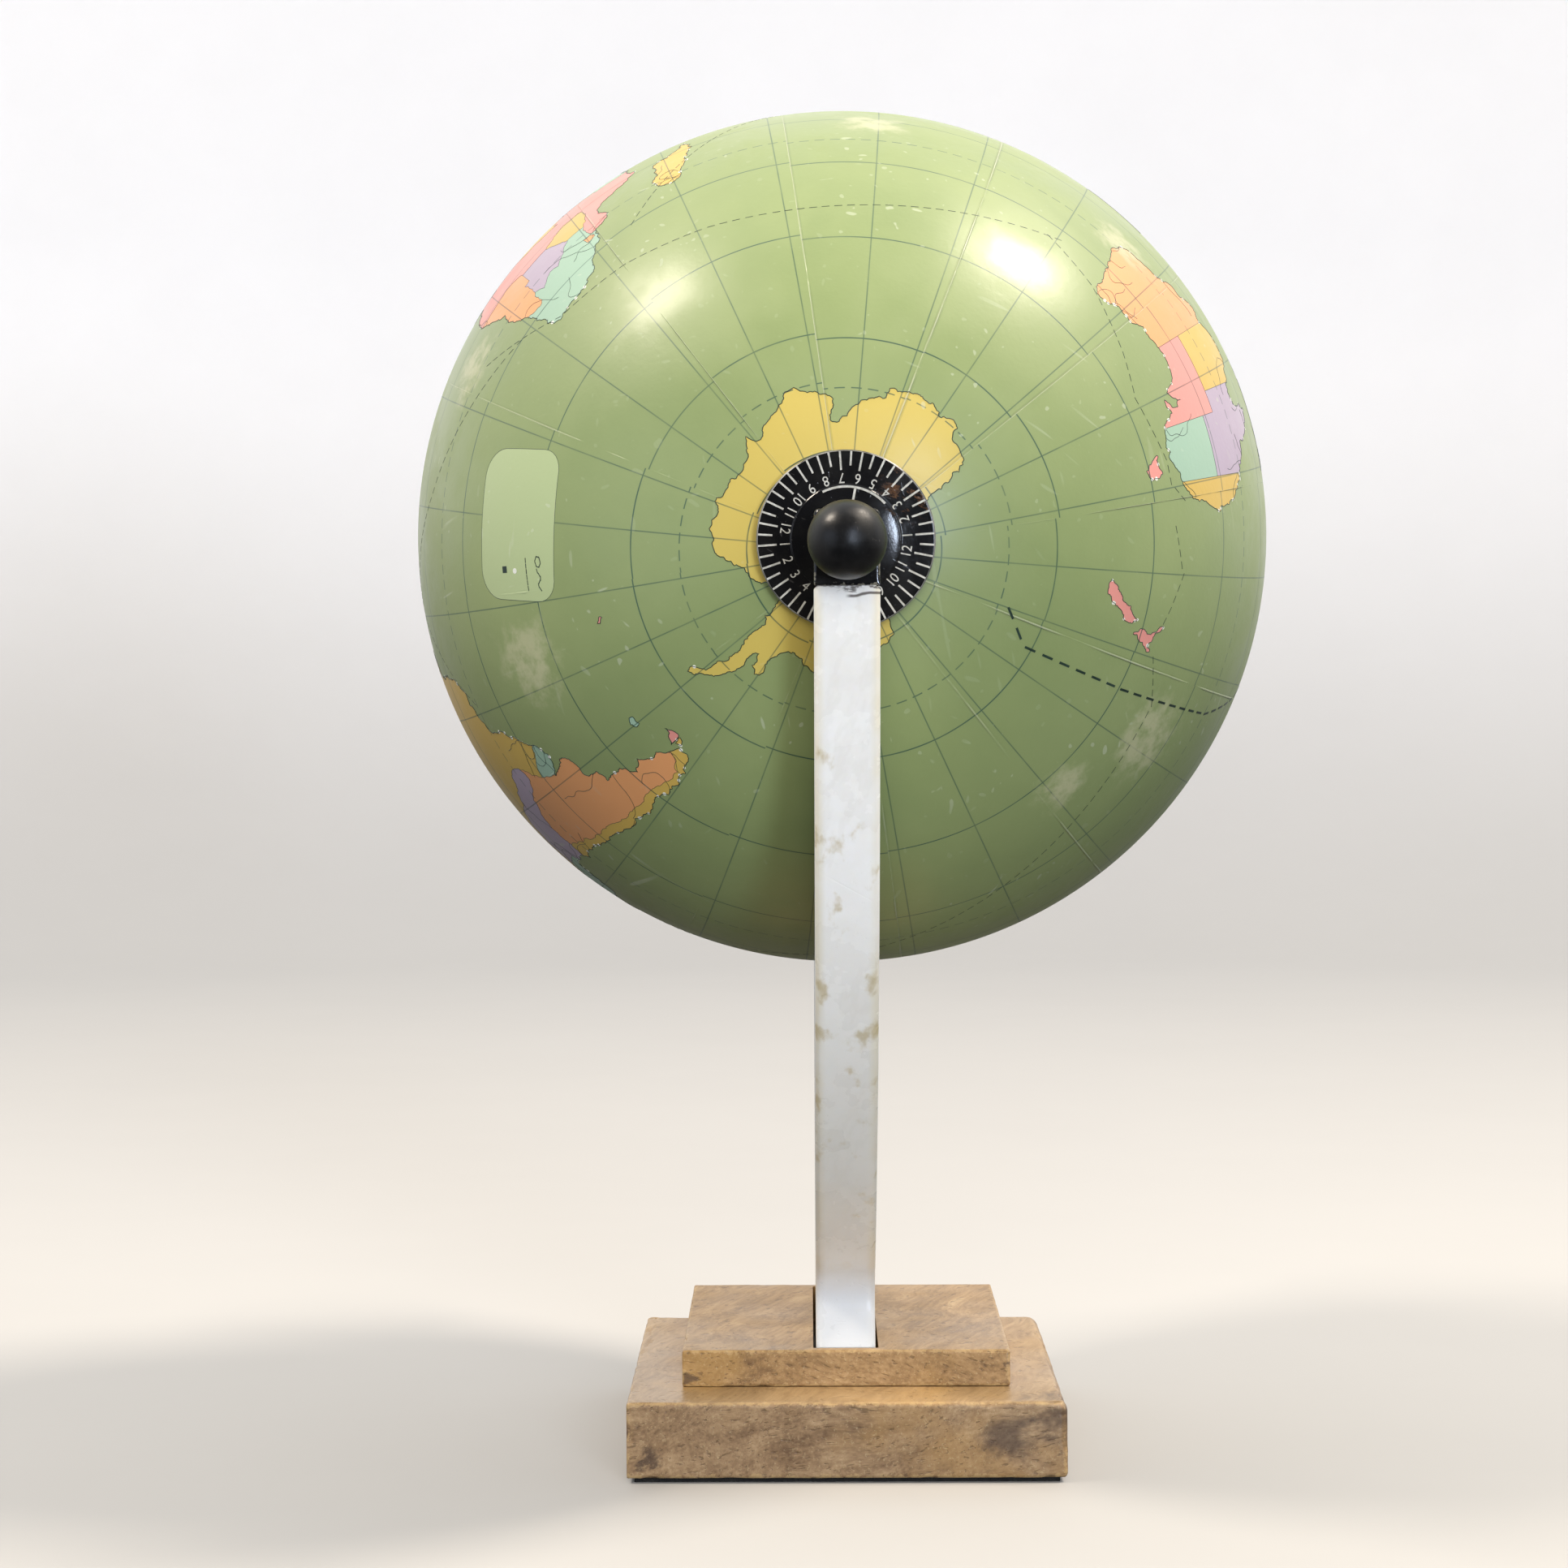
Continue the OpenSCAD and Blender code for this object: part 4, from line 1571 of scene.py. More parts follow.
    @staticmethod
    def _inset(outer: Sequence[Vector], depth: float) -> list[Vector]:
        """The outline moved inwards.

        Args:
            outer: The outline.
            depth: How far it moves.

        Returns:
            The moved points.
        """
        sides = [(b - a).normalized().orthogonal() for a, b in zip(outer, [*outer[1:], outer[0]])]
        return [here + depth * (sides[i - 1] + side) / (1 + sides[i - 1].dot(side))
                for i, (here, side) in enumerate(zip(outer, sides))]


# ---- blocks, axle, knobs and dial


@dataclass
class TipBlocks:
    """The black blocks that are glued and pinned on the crescent's tips."""

    frame: Frame
    top_round: float = 1.3
    side_round: float = 0.45
    joint_round: float = 0.12
    joint_to: float = 0.08
    top_from: float = 0.9
    bore_clear: float = 0.05

    def build(self) -> list[Piece]:
        """Builds both blocks with the bore of the rod.

        Returns:
            The pieces.
        """
        gloss = BlackLacquer("block_lacquer", 0.16, specular=0.6, edge_amount=0.35).make()
        pieces = []
        stand = self.frame.crescent()
        bore = self.frame.radius("axle") + self.bore_clear * MM
        for side, name in SIDES:
            node = "tip_block_" + name
            block = WornBlock(*self.frame.box_in(node, stand), self._round, stand, fine=1.4, cell=1.1, steps=6,
                              wave=0.02, wear=0.1, seed=5.0 + side)
            piece = block.build("block_" + name)
            near, far = self.frame.reach(node, side)
            profile = [(0.0, near - MM), (bore, near - MM), (bore, far + MM), (0.0, far + MM)]
            cut(piece, lathe("bore", profile, self.frame.pole(side), 48))
            block.mark_edges(piece, 0.8)
            smoothed(piece.data, 35)
            pieces.append(dressed(piece, gloss, "stand", node))
        return pieces

    def _round(self, spot: Vector, half: Vector) -> float:
        """Rounding: soft above, nearly sharp along the joint with the stone.

        Args:
            spot: A point of the block, from its middle.
            half: Half the block's sides.

        Returns:
            The radius in millimetres.
        """
        lift = (spot.z / half.z + 1) / 2
        joint = self.joint_round + (self.side_round - self.joint_round) * min(1.0, lift / self.joint_to)
        return self.top_round if lift > self.top_from else joint


@dataclass
class AxleSet:
    """The ball knobs on the rod's ends, the washers and the collar at the north pole."""

    frame: Frame
    clear: float = 0.05
    washer_edge: float = 0.15
    seat_edge: float = 0.1
    rim_t: float = 1.1
    neck_r: float = 4.5
    dish: tuple[Point, ...] = ((6.4, 1.3), (5.0, 0.8), (5.0, 0.0))
    dish_edge: float = 0.3

    def build(self) -> list[Piece]:
        """Builds the turned parts of the axle.

        Returns:
            The pieces.
        """
        gloss = BlackLacquer("knob_gloss", 0.38, specular=0.42, black="#111112", scratch_scale=700.0,
                             edge_amount=0.0).make()
        plastic = SpeckledFinish("washer_plastic", 0.35, light="#d9d6cc", dark="#cdc9bd", scale=500.0).make()
        satin = BlackLacquer("spacer_satin", 0.35, edge_amount=0.0).make()
        pieces = []
        for side, name in SIDES:
            pieces += [self._knob(side, name, gloss), self._washer(side, name, plastic)]
        return [*pieces, self._spacer(satin)]

    def _knob(self, side: int, name: str, finish: Material) -> Piece:
        """One ball knob, flat where it sits, with the blind bore of its insert.

        Args:
            side: 1 for the south, -1 for the north.
            name: The side's name.
            finish: Its material.

        Returns:
            The knob.
        """
        node, insert = "knob_" + name, "knob_insert_" + name
        seat, tip = self.frame.reach(node, side)
        radius = self.frame.radius(node)
        middle = tip - radius
        bore = self.frame.radius(insert) + self.clear * MM
        deep = self.frame.reach(insert, side)[1] + self.clear * MM
        start = acos((seat - middle) / radius)
        profile = [(0.0, deep), (bore, deep), (bore, seat), (radius * sin(start) - self.seat_edge * MM, seat)]
        for turn in (start * (1 - k / 40) for k in range(41)):
            profile.append((radius * sin(turn), middle + radius * cos(turn)))
        piece = lathe("ball_" + node, profile, self.frame.pole(side), 96)
        return dressed(piece, finish, "stand", node)

    def _washer(self, side: int, name: str, finish: Material) -> Piece:
        """One thrust washer.

        Args:
            side: 1 for the south, -1 for the north.
            name: The side's name.
            finish: Its material.

        Returns:
            The washer.
        """
        node = "thrust_washer_" + name
        near, far = self.frame.reach(node, side)
        bore, outer = self.frame.radius("axle") + self.clear * MM, self.frame.radius(node)
        profile = rounded([(bore, near), (outer, near), (outer, far), (bore, far)], self.washer_edge * MM)
        piece = lathe("washer_" + name, profile, self.frame.pole(side), 96)
        return dressed(piece, finish, "stand", node)

    def _spacer(self, finish: Material) -> Piece:
        """The plain collar over the north pole, dished towards its hub.

        Args:
            finish: Its material.

        Returns:
            The collar.
        """
        node = "pole_spacer_north"
        near, far = self.frame.reach(node, -1)
        bore, outer = self.frame.radius("axle") + self.clear * MM, self.frame.radius(node)
        plate, neck = self.frame.reach("hour_dial", 1)[0], self.neck_r * MM
        profile = rounded([
            (bore, near), (neck, near), (neck, plate), (outer, plate), (outer, plate + self.rim_t * MM),
            *((r * MM, far - drop * MM) for r, drop in self.dish), (bore, far)], self.dish_edge * MM)
        piece = lathe("collar_north", profile, self.frame.pole(-1), 128)
        return dressed(piece, finish, "globe", node)


@dataclass
class HourDial:
    """The black hour dial with its raised middle, ticks, hour numbers and wake arc."""

    frame: Frame
    clear: float = 0.05
    rim_t: float = 1.1
    bevel: float = 0.25
    middle_r: float = 10.3
    middle_h: float = 0.65
    middle_edge: float = 0.3
    dome_in: float = 0.4
    hub_r: float = 5.0
    edge: float = 0.12
    face_drop: float = 0.2
    bare: tuple[Point, ...] = ((-0.25, -0.06), (-0.02, -0.3), (0.02, -0.26), (-0.21, 0.01))
    six_at: float = 11.1
    hours: int = 24
    long_tick: float = 3.45
    short_tick: float = 2.65
    tick_w: float = 0.36
    print_t: float = 0.05
    digit_size: float = 2.698
    digit_r: float = 11.4
    digit_gap: float = 0.94
    digit_narrow: float = 0.88
    arc_r: float = 9.85
    arc_from: float = -26.2
    arc_to: float = 47.5
    arc_w: float = 0.42
    arc_in: float = 0.35
    pointer_at: float = 10.3
    pointer_r: Triple = (5.4, 7.5, 9.65)
    worn_at: Point = (12.2, 9.2)
    stand: Matrix = field(init=False)
    front: float = field(init=False)

    def __post_init__(self) -> None:
        """Works out the dial's axes and the height of its face."""
        self.stand = self.frame.pole(1)
        self.front = self.frame.reach("hour_dial", 1)[0] + self.rim_t * MM

    def build(self) -> list[Piece]:
        """Builds the dial's disc, its bare rim and its print.

        Returns:
            The pieces.
        """
        stand, front = self.stand, self.front
        near, far = self.frame.reach("hour_dial", 1)
        outer, bore = self.frame.radius("hour_dial"), self.frame.radius("axle") + self.clear * MM
        raised = front + self.middle_h * MM
        middle, hub, bevel = self.middle_r * MM, self.hub_r * MM, self.bevel * MM
        edge, start = middle - self.dome_in * MM, front + self.middle_edge * MM
        dome = [(edge + (hub - edge) * t, start + (raised - start) * (1 - (1 - t) ** 2))
                for t in (k / 8 for k in range(9))]
        profile = rounded([
            (bore, near), (outer - bevel, near), (outer, near + bevel), (outer, front - self.face_drop * MM),
            (outer - bevel, front), (middle, front), (middle - bevel, start), *dome, (hub, far), (bore, far)],
            self.edge * MM, 3)
        rim_profile = [(outer + r * MM, front + z * MM) for r, z in self.bare]
        worn = stand @ Vector((*(Vector(self.worn_at) * MM), front))
        satin = BlackLacquer("dial_black", 0.1, wear_amount=0.75, wear_side=tuple(worn), wear_reach=0.0075,
                             scratch_scale=520.0, edge_amount=0.0).make()
        ink = SpeckledFinish("dial_ink", 0.5, light="#d8d6cc", dark="#aaa79c", scale=900.0).make()
        bare = SpeckledFinish("bare_edge", 0.4, light="#b4b2aa", dark="#55534e", scale=160.0).make()
        disc = dressed(lathe("dial_disc", profile, stand, 220), satin, "dial", "hour_dial")
        rim = dressed(lathe("dial_rim", rim_profile, stand, 220), bare, "dial")
        ticks = [placed(tick, "dial") for tick in self._ticks(outer - bevel, ink)]
        prints = [dressed(linked(mesh.name, mesh), ink, "dial")
                  for mesh in (self._digits(), self._arc(raised))]
        return [disc, rim, *ticks, *prints]

    @staticmethod
    def _turn(clockwise: float) -> float:
        """Angle about the dial's axis from a clockwise angle that starts upwards."""
        return radians(90 - clockwise)

    def _ticks(self, outer: float, ink: Material) -> list[Piece]:
        """The ticks at the hours and at the half hours.

        Args:
            outer: Radius at which the ticks end.
            ink: Their material.

        Returns:
            Both rings of ticks.
        """
        made = []
        half_hour = 180 / self.hours
        for name, length, start in (("hour_ticks", self.long_tick, self.six_at),
                                    ("half_hour_ticks", self.short_tick, self.six_at + half_hour)):
            tool = TickRing(name, {
                "Count": self.hours, "Outer Radius": outer, "Start Angle": self._turn(start),
                "Length": length * MM, "Width": self.tick_w * MM, "Thickness": self.print_t * 2 * MM}, ink)
            made.append(tool.bake(name, mesh_of(name, [(0, 0, 0)])))
            made[-1].data.transform(self.stand @ Matrix.Translation((0, 0, self.front)))
        return made

    def _digits(self) -> Mesh:
        """The hour numbers, twice one to twelve, with their tops to the centre.

        Returns:
            Their mesh.
        """
        shape = bmesh.new()
        for k in range(self.hours):
            text = bpy.data.curves.new("digit", "FONT")
            text.body = str((5 - k) % 12 + 1)
            text.size = self.digit_size * MM
            text.align_x = text.align_y = "CENTER"
            text.space_character = self.digit_gap
            text.extrude = self.print_t * MM
            carrier = linked("digit", text)
            mesh = evaluated(carrier)
            bpy.data.objects.remove(carrier)
            bpy.data.curves.remove(text)
            turn = self._turn(self.six_at + 360 / self.hours * k)
            spot = Matrix.Translation((*(heading(turn) * self.digit_r * MM), self.front))
            narrow = Matrix.Diagonal((self.digit_narrow, 1, 1, 1))
            mesh.transform(spot @ Matrix.Rotation(turn + pi / 2, 4, "Z") @ narrow)
            shape.from_mesh(mesh)
            bpy.data.meshes.remove(mesh)
        bmesh.ops.remove_doubles(shape, verts=shape.verts, dist=1e-7)
        return settled(shape, "hour_numbers", self.stand)

    def _arc(self, raised: float) -> Mesh:
        """The arc and its pointer line on the raised middle.

        Args:
            raised: Height of the middle.

        Returns:
            Their mesh.
        """
        outer = min(self.arc_r + self.arc_w / 2, self.middle_r - self.arc_in)
        turns = [self._turn(self.arc_from + (self.arc_to - self.arc_from) * k / 40) for k in range(41)]
        arc = [(heading(turn) * (outer - self.arc_w), heading(turn) * outer) for turn in turns]
        way = heading(self._turn(self.pointer_at))
        side = way.orthogonal() * self.arc_w / 2
        pointer = [(way * r - side, way * r + side) for r in self.pointer_r]
        shape = bmesh.new()
        low, high = raised - self.print_t * MM, raised + self.print_t * MM
        for ribbon in (arc, pointer):
            add_solid(shape, [[Vector((*(p * MM), z)) for p, z in ((a, low), (b, low), (b, high), (a, high))]
                              for a, b in ribbon])
        return settled(shape, "wake_arc", self.stand)


# ---- map


def outline(text: str, shift: float = 0.0) -> list[Point]:
    """An outline written as "lon,lat lon,lat ...", with a shift in degrees along the equator."""
    pairs = (word.split(",") for word in text.split())
    return [(float(lon) + shift, float(lat)) for lon, lat in pairs]


def outlines(text: str, shift: float = 0.0) -> list[list[Point]]:
    """Several outlines with "|" between them."""
    return [outline(part, shift) for part in text.split("|")]


class Tint(Enum):
    """The colours of the land and of the legend's box, as they lie under the lacquer."""

    YELLOW = "#cfae57"
    STRAW = "#ccb65d"
    ORANGE = "#e3a069"
    MINT = "#9dbba3"
    LILAC = "#b0a0b1"
    PINK = "#df9489"
    SALMON = "#d79a8a"
    PALE = "#dcb0a8"
    LEGEND = "#aebd8c"


# Coasts in the globe's own degrees, for the south, where the sheets lie a little off the true places
AFRICA = outline("""
    13,-2 15.8,-6 16.2,-9.5 15.5,-12.5 14.4,-15.5 14.1,-18 14.9,-20.5 16.3,-23.5 16.9,-25.5 17.2,-28 17.8,-30
    18.9,-31.2 19.4,-33.2 20.1,-35.3 19.8,-36.6 20.4,-37.7 21.5,-38.4 22.6,-37.9 24.3,-37.8 26.5,-37.9
    28.7,-37.4 30.6,-36.6 31.2,-35.3 32.6,-33.4 34.2,-31.6 35,-29.8 35,-28.2 36.6,-27.5 37.5,-26.9 37.6,-25.1
    37,-23.3 37.4,-21.9 39.3,-20.4 41.6,-19.2 43,-17.2 43.3,-14 43.6,-11 42.8,-7.5 43,-5""") + outline("""
    41.5,-2 44,1.5 47.5,4.5 50.5,8.5 51.3,11.8 48,11.2 44.5,10.6 43.2,12.5 41,15 38,18.2 37,21.5 35.3,24.3
    33.8,27.2 32.6,29.9 31,31.5 29,31 25,31.7 22,32.8 20,31 19,30.3 15.5,31.8 12,33 10.5,34.5 11,37 9,37.3
    3,36.9 -2,35.2 -5.8,35.8 -6.8,34 -9.6,31.5 -10,29.5 -13,27.7 -16,24 -17,21 -16.2,18.5 -17.4,14.7 -16.5,12.3
    -13.5,9.5 -11.4,6.9 -7.5,4.4 -3,5 1.5,6.2 4.5,6.4 6,4.3 9,4.2 9.7,2 9.3,-1""", 3.6)
SOUTH_AMERICA = outline("""
    326.5,-9.5 324.9,-11 324.8,-14 324,-18 322.8,-20.8 321.5,-22.3 319,-23 317,-24 315.2,-25 314.5,-27
    314.4,-28.5 313,-30.2 312,-31.8 311,-33 310.2,-34.5 309,-35.5 308,-36 306.5,-35.8 305.6,-35.2 304.5,-34.2
    305,-36 306.2,-37.6 305.8,-38.8 304,-39.7 301.5,-39.8 301,-40.8 300.8,-42 299.5,-42.5 298.3,-42.4
    298.5,-43.8 298.2,-44.8 297.9,-46 296.5,-46.8 295.5,-47.6 296.2,-48.6 297.3,-49.3 296,-50.2 295,-51.3
    294.2,-53 293.3,-54 292.3,-55.2 290.3,-55.2 289.3,-54.8 289.2,-53.5 288,-52.5 287.8,-50.5 288.8,-49.5
    288.3,-47.8 289.5,-47 290,-45.5 289.7,-44.5 289.3,-43.3 289.6,-42.5 290,-41 290,-39 290.2,-37.8 291,-36.5
    291.5,-35 291.8,-33.5 291.8,-31.5 292.2,-29 292.8,-27 293,-24.5 293.3,-21 293.3,-18
    293.2,-16""") + outline("""
    -76.2,-14 -77.2,-12 -79.5,-7.5 -81.3,-4.5 -80,-2.5 -80.3,0.3 -78.8,1.5 -77.3,4.5 -77.8,7 -77.4,8.5
    -75.5,10.8 -71.7,12.3 -71.5,10.9 -68,10.6 -62,10.6 -60,8.4 -57,6 -51.5,4.3 -50,0.5 -48,-1 -44,-2.7 -40,-2.9
    -37,-5 -35,-7.5""", 3.6)
ANTARCTICA = outline("""
    -15,-73.8 -8,-73.5 0,-73.4 5,-74.2 12,-74.3 20,-74.6 24,-74.5 27,-73.4 29.5,-72.5 31.5,-73.9 35,-73.9
    38,-72.9 43,-72.4 47,-71.7 50,-70.9 53,-70.5 56,-70.8 59,-71.5 64,-72.1 68,-72.6 68.5,-73.6 66.3,-74.8
    69.5,-75.8 72,-75.1 75,-74.5 78,-73.6 81,-72.9 85,-72.5 89,-72.2 90,-70.8 96,-70.5 104,-70.4 108,-70.5
    112,-71.1 115,-70.4 119,-70.8 122,-72.3 126,-72.4 130,-72.8 133,-74 134,-75.5 136,-77 138,-79 145,-80.5
    160,-81.5 180,-81.5 200,-81 215,-80.2 225,-79.3 226.5,-77.2 231,-76.6 236,-76.3 242,-75.8 250,-75 258,-74
    266,-73.2 270,-73.8 274,-74.6 278,-74.9 283,-74.2 286,-72.8 285.5,-70.8 288,-70 290.5,-70.8 291,-72.5
    293,-72 292.8,-70 295,-68.3 298.5,-66.3 301.5,-65 304,-64.2 304.5,-64.8 302.5,-65.7 300.3,-67 298.3,-69
    297.8,-71.5 298.6,-74.5 299.3,-77.5 300.5,-79.5 308,-80 315.5,-79.2 319,-78 325,-77.5 330,-76.6 334,-75.2
    338,-74 342,-73.7""")
AUSTRALIA = outline("""
    116.5,-28 117,-26.5 118,-25.3 119.5,-24.6 121.5,-24.2 123.5,-23.6 124.8,-22.5 125.5,-21 127,-20.5
    128.5,-19.5 129.3,-18 130.3,-17.5 131.3,-18.5 132.3,-19.2 133,-18.2 134,-17 135,-16.2 136.5,-16 138.5,-16.2
    139.3,-17.5 139.8,-18.8 141.2,-19.5 141.6,-21 143,-21.5 144.5,-21 145,-19.5 145.4,-17 145.8,-15.5
    147.5,-17.5 148.3,-18.5 149.2,-20 149.8,-21.5 151,-23 152.3,-24 153,-25.2 154,-25.6 155,-25.8 156.5,-27.5
    157.8,-29 158.5,-30.5 158.6,-33 158.8,-35 158,-36.5 157.5,-38.2 156.5,-40 155,-41.3 153.8,-41.8 152,-42.2
    150.5,-43 149.5,-43.4 148.8,-42.8 147.8,-43.5 146.3,-43 144.8,-42.6 144,-42.3 143.5,-41 142.7,-40
    141.8,-40.4 140.2,-40.5 141.5,-39.6 142,-38.2 141.2,-37 140.5,-38.5 139.3,-39.4 138.5,-38 137.8,-37
    136.8,-36.4 135,-36 133.5,-35.9 131.5,-36.3 129.5,-36.9 127.5,-37.3 126.5,-38.3 125,-38.4 123.5,-38.2
    122.5,-39 121,-39.7 119.5,-39.9 118.7,-39 118.8,-37.5 118.3,-35.8 118,-33.5 117.3,-31.5 116.8,-30
    116.4,-28.8""")
SOUTHERN_ISLANDS = outlines("""
    51.8,-12 52.6,-15 52.7,-17 51.8,-19.5 51,-22 50.2,-25 49.3,-28 47.8,-28.7 46.5,-28 45.8,-26.5 45.7,-24.8
    46.7,-23.5 46.8,-20.5 46.7,-18.5 47.8,-17.5 49,-17.8 49.5,-16.8 50.7,-15.3 51.2,-13.5 | 148.8,-45.5
    150.5,-45.8 152,-45.3 152.7,-46.5 152.5,-47.8 151,-48.2 150,-47.5 149.3,-46.5 | 178.9,-44 179.9,-44.3
    180.5,-45.2 181.5,-45.3 182.5,-45.8 183.5,-45.2 184,-45.2 183.6,-46.2 182.7,-47 182.5,-48 181.8,-49.1
    181.2,-48.6 180.3,-47.5 181,-46.7 180.6,-45.8 180.1,-45 | 179,-49.1 179.9,-49.8 179.9,-50.6 178.8,-51.6
    177.8,-52.5 176.8,-54 175.3,-55 173.5,-55.1 172.1,-54.8 173.5,-53.5 175,-52.7 176.7,-51.5 177.8,-50.4
    178.6,-49.8 | 294,-54.8 295,-55.3 296,-56 297.5,-56.1 296,-56.6 294.5,-56.8 293.9,-56 | 292.3,-55.7
    293.6,-55.4 293.5,-56.6 292.6,-56.2 | 301.8,-53.1 304.2,-53 304,-53.6 302,-53.7 | 325,-56 326.4,-56.6
    326,-57 324.9,-56.4 | 32.7,-28.2 34,-28.1 34.4,-29.4 33,-29.8""")
EURASIA = outline("""
    34.3,31.3 35.8,34.5 36,36.6 32.5,36.1 30.5,36.7 27.8,36.8 26.5,38.5 26.2,40 29,41 33,42 38,41 41.5,41.8
    38.5,44.5 37.5,46.5 35,46 33.5,44.6 31.5,46.5 28.8,44.5 28,42 28.8,41.2 26,40.6 23.5,40.3 24,38 22.8,36.5
    21,38.5 19.4,41.5 16,43.5 13.6,45.6 12.3,44.8 14,42.5 18.4,40 16.5,39.8 16,38 14,40.8 10.5,43 8.5,44.3
    3.2,43.2 0,40 -0.8,37.8 -5.5,36 -9,37 -9.4,39 -8.8,43.2 -1.8,43.4 -1.2,46 -4.6,48.4 1.5,50.2 4.5,52.2
    8.3,53.8 8.3,56.9 10.6,57.6 11,54.2 14,54 18.8,54.5 21.2,56 24.2,57.2 23.5,59 29.5,59.9 23,60 21.3,61.5
    25,65 22,65.8 17.3,61.5 18.5,60 16.5,57 13,55.6 10.8,59.3 7,58 5,60 5.5,62.2 12,66 18,69.3 25.5,71 31,70.3
    41,67.5 40,66.2 33.5,66.6 38,64.2 44,66 44,68.4 54,68.5 60.5,69 68.5,68.5 67,71.5 69.5,73 73.5,71.5
    74.5,72.8 80.5,73.5 87,75 98,76 104.5,77.6 113,75.8 113,73.8 127,73.3 130,71 140,72.5 152,71 161,69.5
    171,69.9 180,68.8 190,66 180,64.8 178,62.5 171,60 163.5,59.8 162,57.8 160,53 156.8,51 155.8,56.5 163,61.5
    156,61.5 152,59 142.5,59.3 135.5,54.7 141,53 140.3,48.5 135.5,44 131,42.7 127.6,39.8 129.4,37 128.8,35.2
    126.4,34.6 126.6,37.4 125,39.6 121.5,39 121,40.8 118,39 119,37.2 122.5,37 119.3,35 121.8,31.5 121,28
    117,23.6 113.5,22.2 110.3,21.2 106.2,19.8 108.8,15.5 109.2,11.8 105,8.8 105,10.5 102.3,12.3 100.9,13.5
    99.3,9.5 103.4,4.5 104,1.5 101,3 98.4,7.8 98.5,12 97.5,16.5 94.3,16 92,21.5 90,22 87,21.3 82.3,16.6 80.3,15
    79.8,10.3 77.6,8.1 76,11 73,17 72.8,21 70.3,20.9 69,22.4 67,24.8 61.5,25.1 57,26.8 54,26.6 51.3,28 48.6,30.2
    48,29.5 51.5,25.3 54.2,24.2 56.3,26.2 59.8,22.5 57.5,18.9 52,15.6 45,12.8 43.2,13.3 42.6,16.6 39,21 35.2,28
    34.9,29.5 32.6,29.9""", 3.6)
NORTH_AMERICA = outline("""
    -168,65.6 -166,68.3 -156.5,71.3 -141,69.6 -128,70.3 -115,68.2 -102,67.8 -94,69 -94,71.8 -85,69.8 -81.5,68
    -87,65 -94.5,60 -92.5,57 -82.3,55.2 -82,52.8 -79,51.3 -79.5,54.7 -76.6,57.3 -78,62.4 -69.5,60.9 -65,58.8
    -61.5,56.5 -56,53 -57,51.5 -60,50.2 -66.3,50.2 -69.5,48.3 -64.5,49 -65,47 -61,45.8 -65.8,43.6 -67,44.8
    -70.5,43.2 -70,41.7 -74,40.6 -75.5,38 -76,35 -81,31.8 -80.2,26.8 -81,25.2 -82.7,28 -84.3,30 -89,30.3
    -94,29.5 -97.4,26.5 -97.6,22 -95.8,18.9 -91.5,18.5 -90.4,21 -87,21.4 -88.3,17.5 -88.5,15.8 -83.2,15
    -83.7,11.2 -81.5,8.9 -79,9.6 -77.4,8.8 -78.2,7.4 -80,7.4 -82.8,8.2 -85.7,10.5 -87.7,13 -92.3,14.6 -96,15.8
    -101.5,17.6 -105.5,20.3 -106,23 -109.4,26 -112.5,30 -114.7,31.8 -112.5,28 -109.5,23 -112,25 -115,29.3
    -117.2,32.7 -120.6,34.6 -124.3,40.3 -124,46.3 -123,49 -128,51.5 -130.5,55 -134,58.5 -140,59.8 -146,60.8
    -151,59.5 -154,58.5 -163,55 -158,57.6 -157.5,58.8 -162,58.7 -165.5,61.5 -161,64.5 -166,64.4""", 3.6)
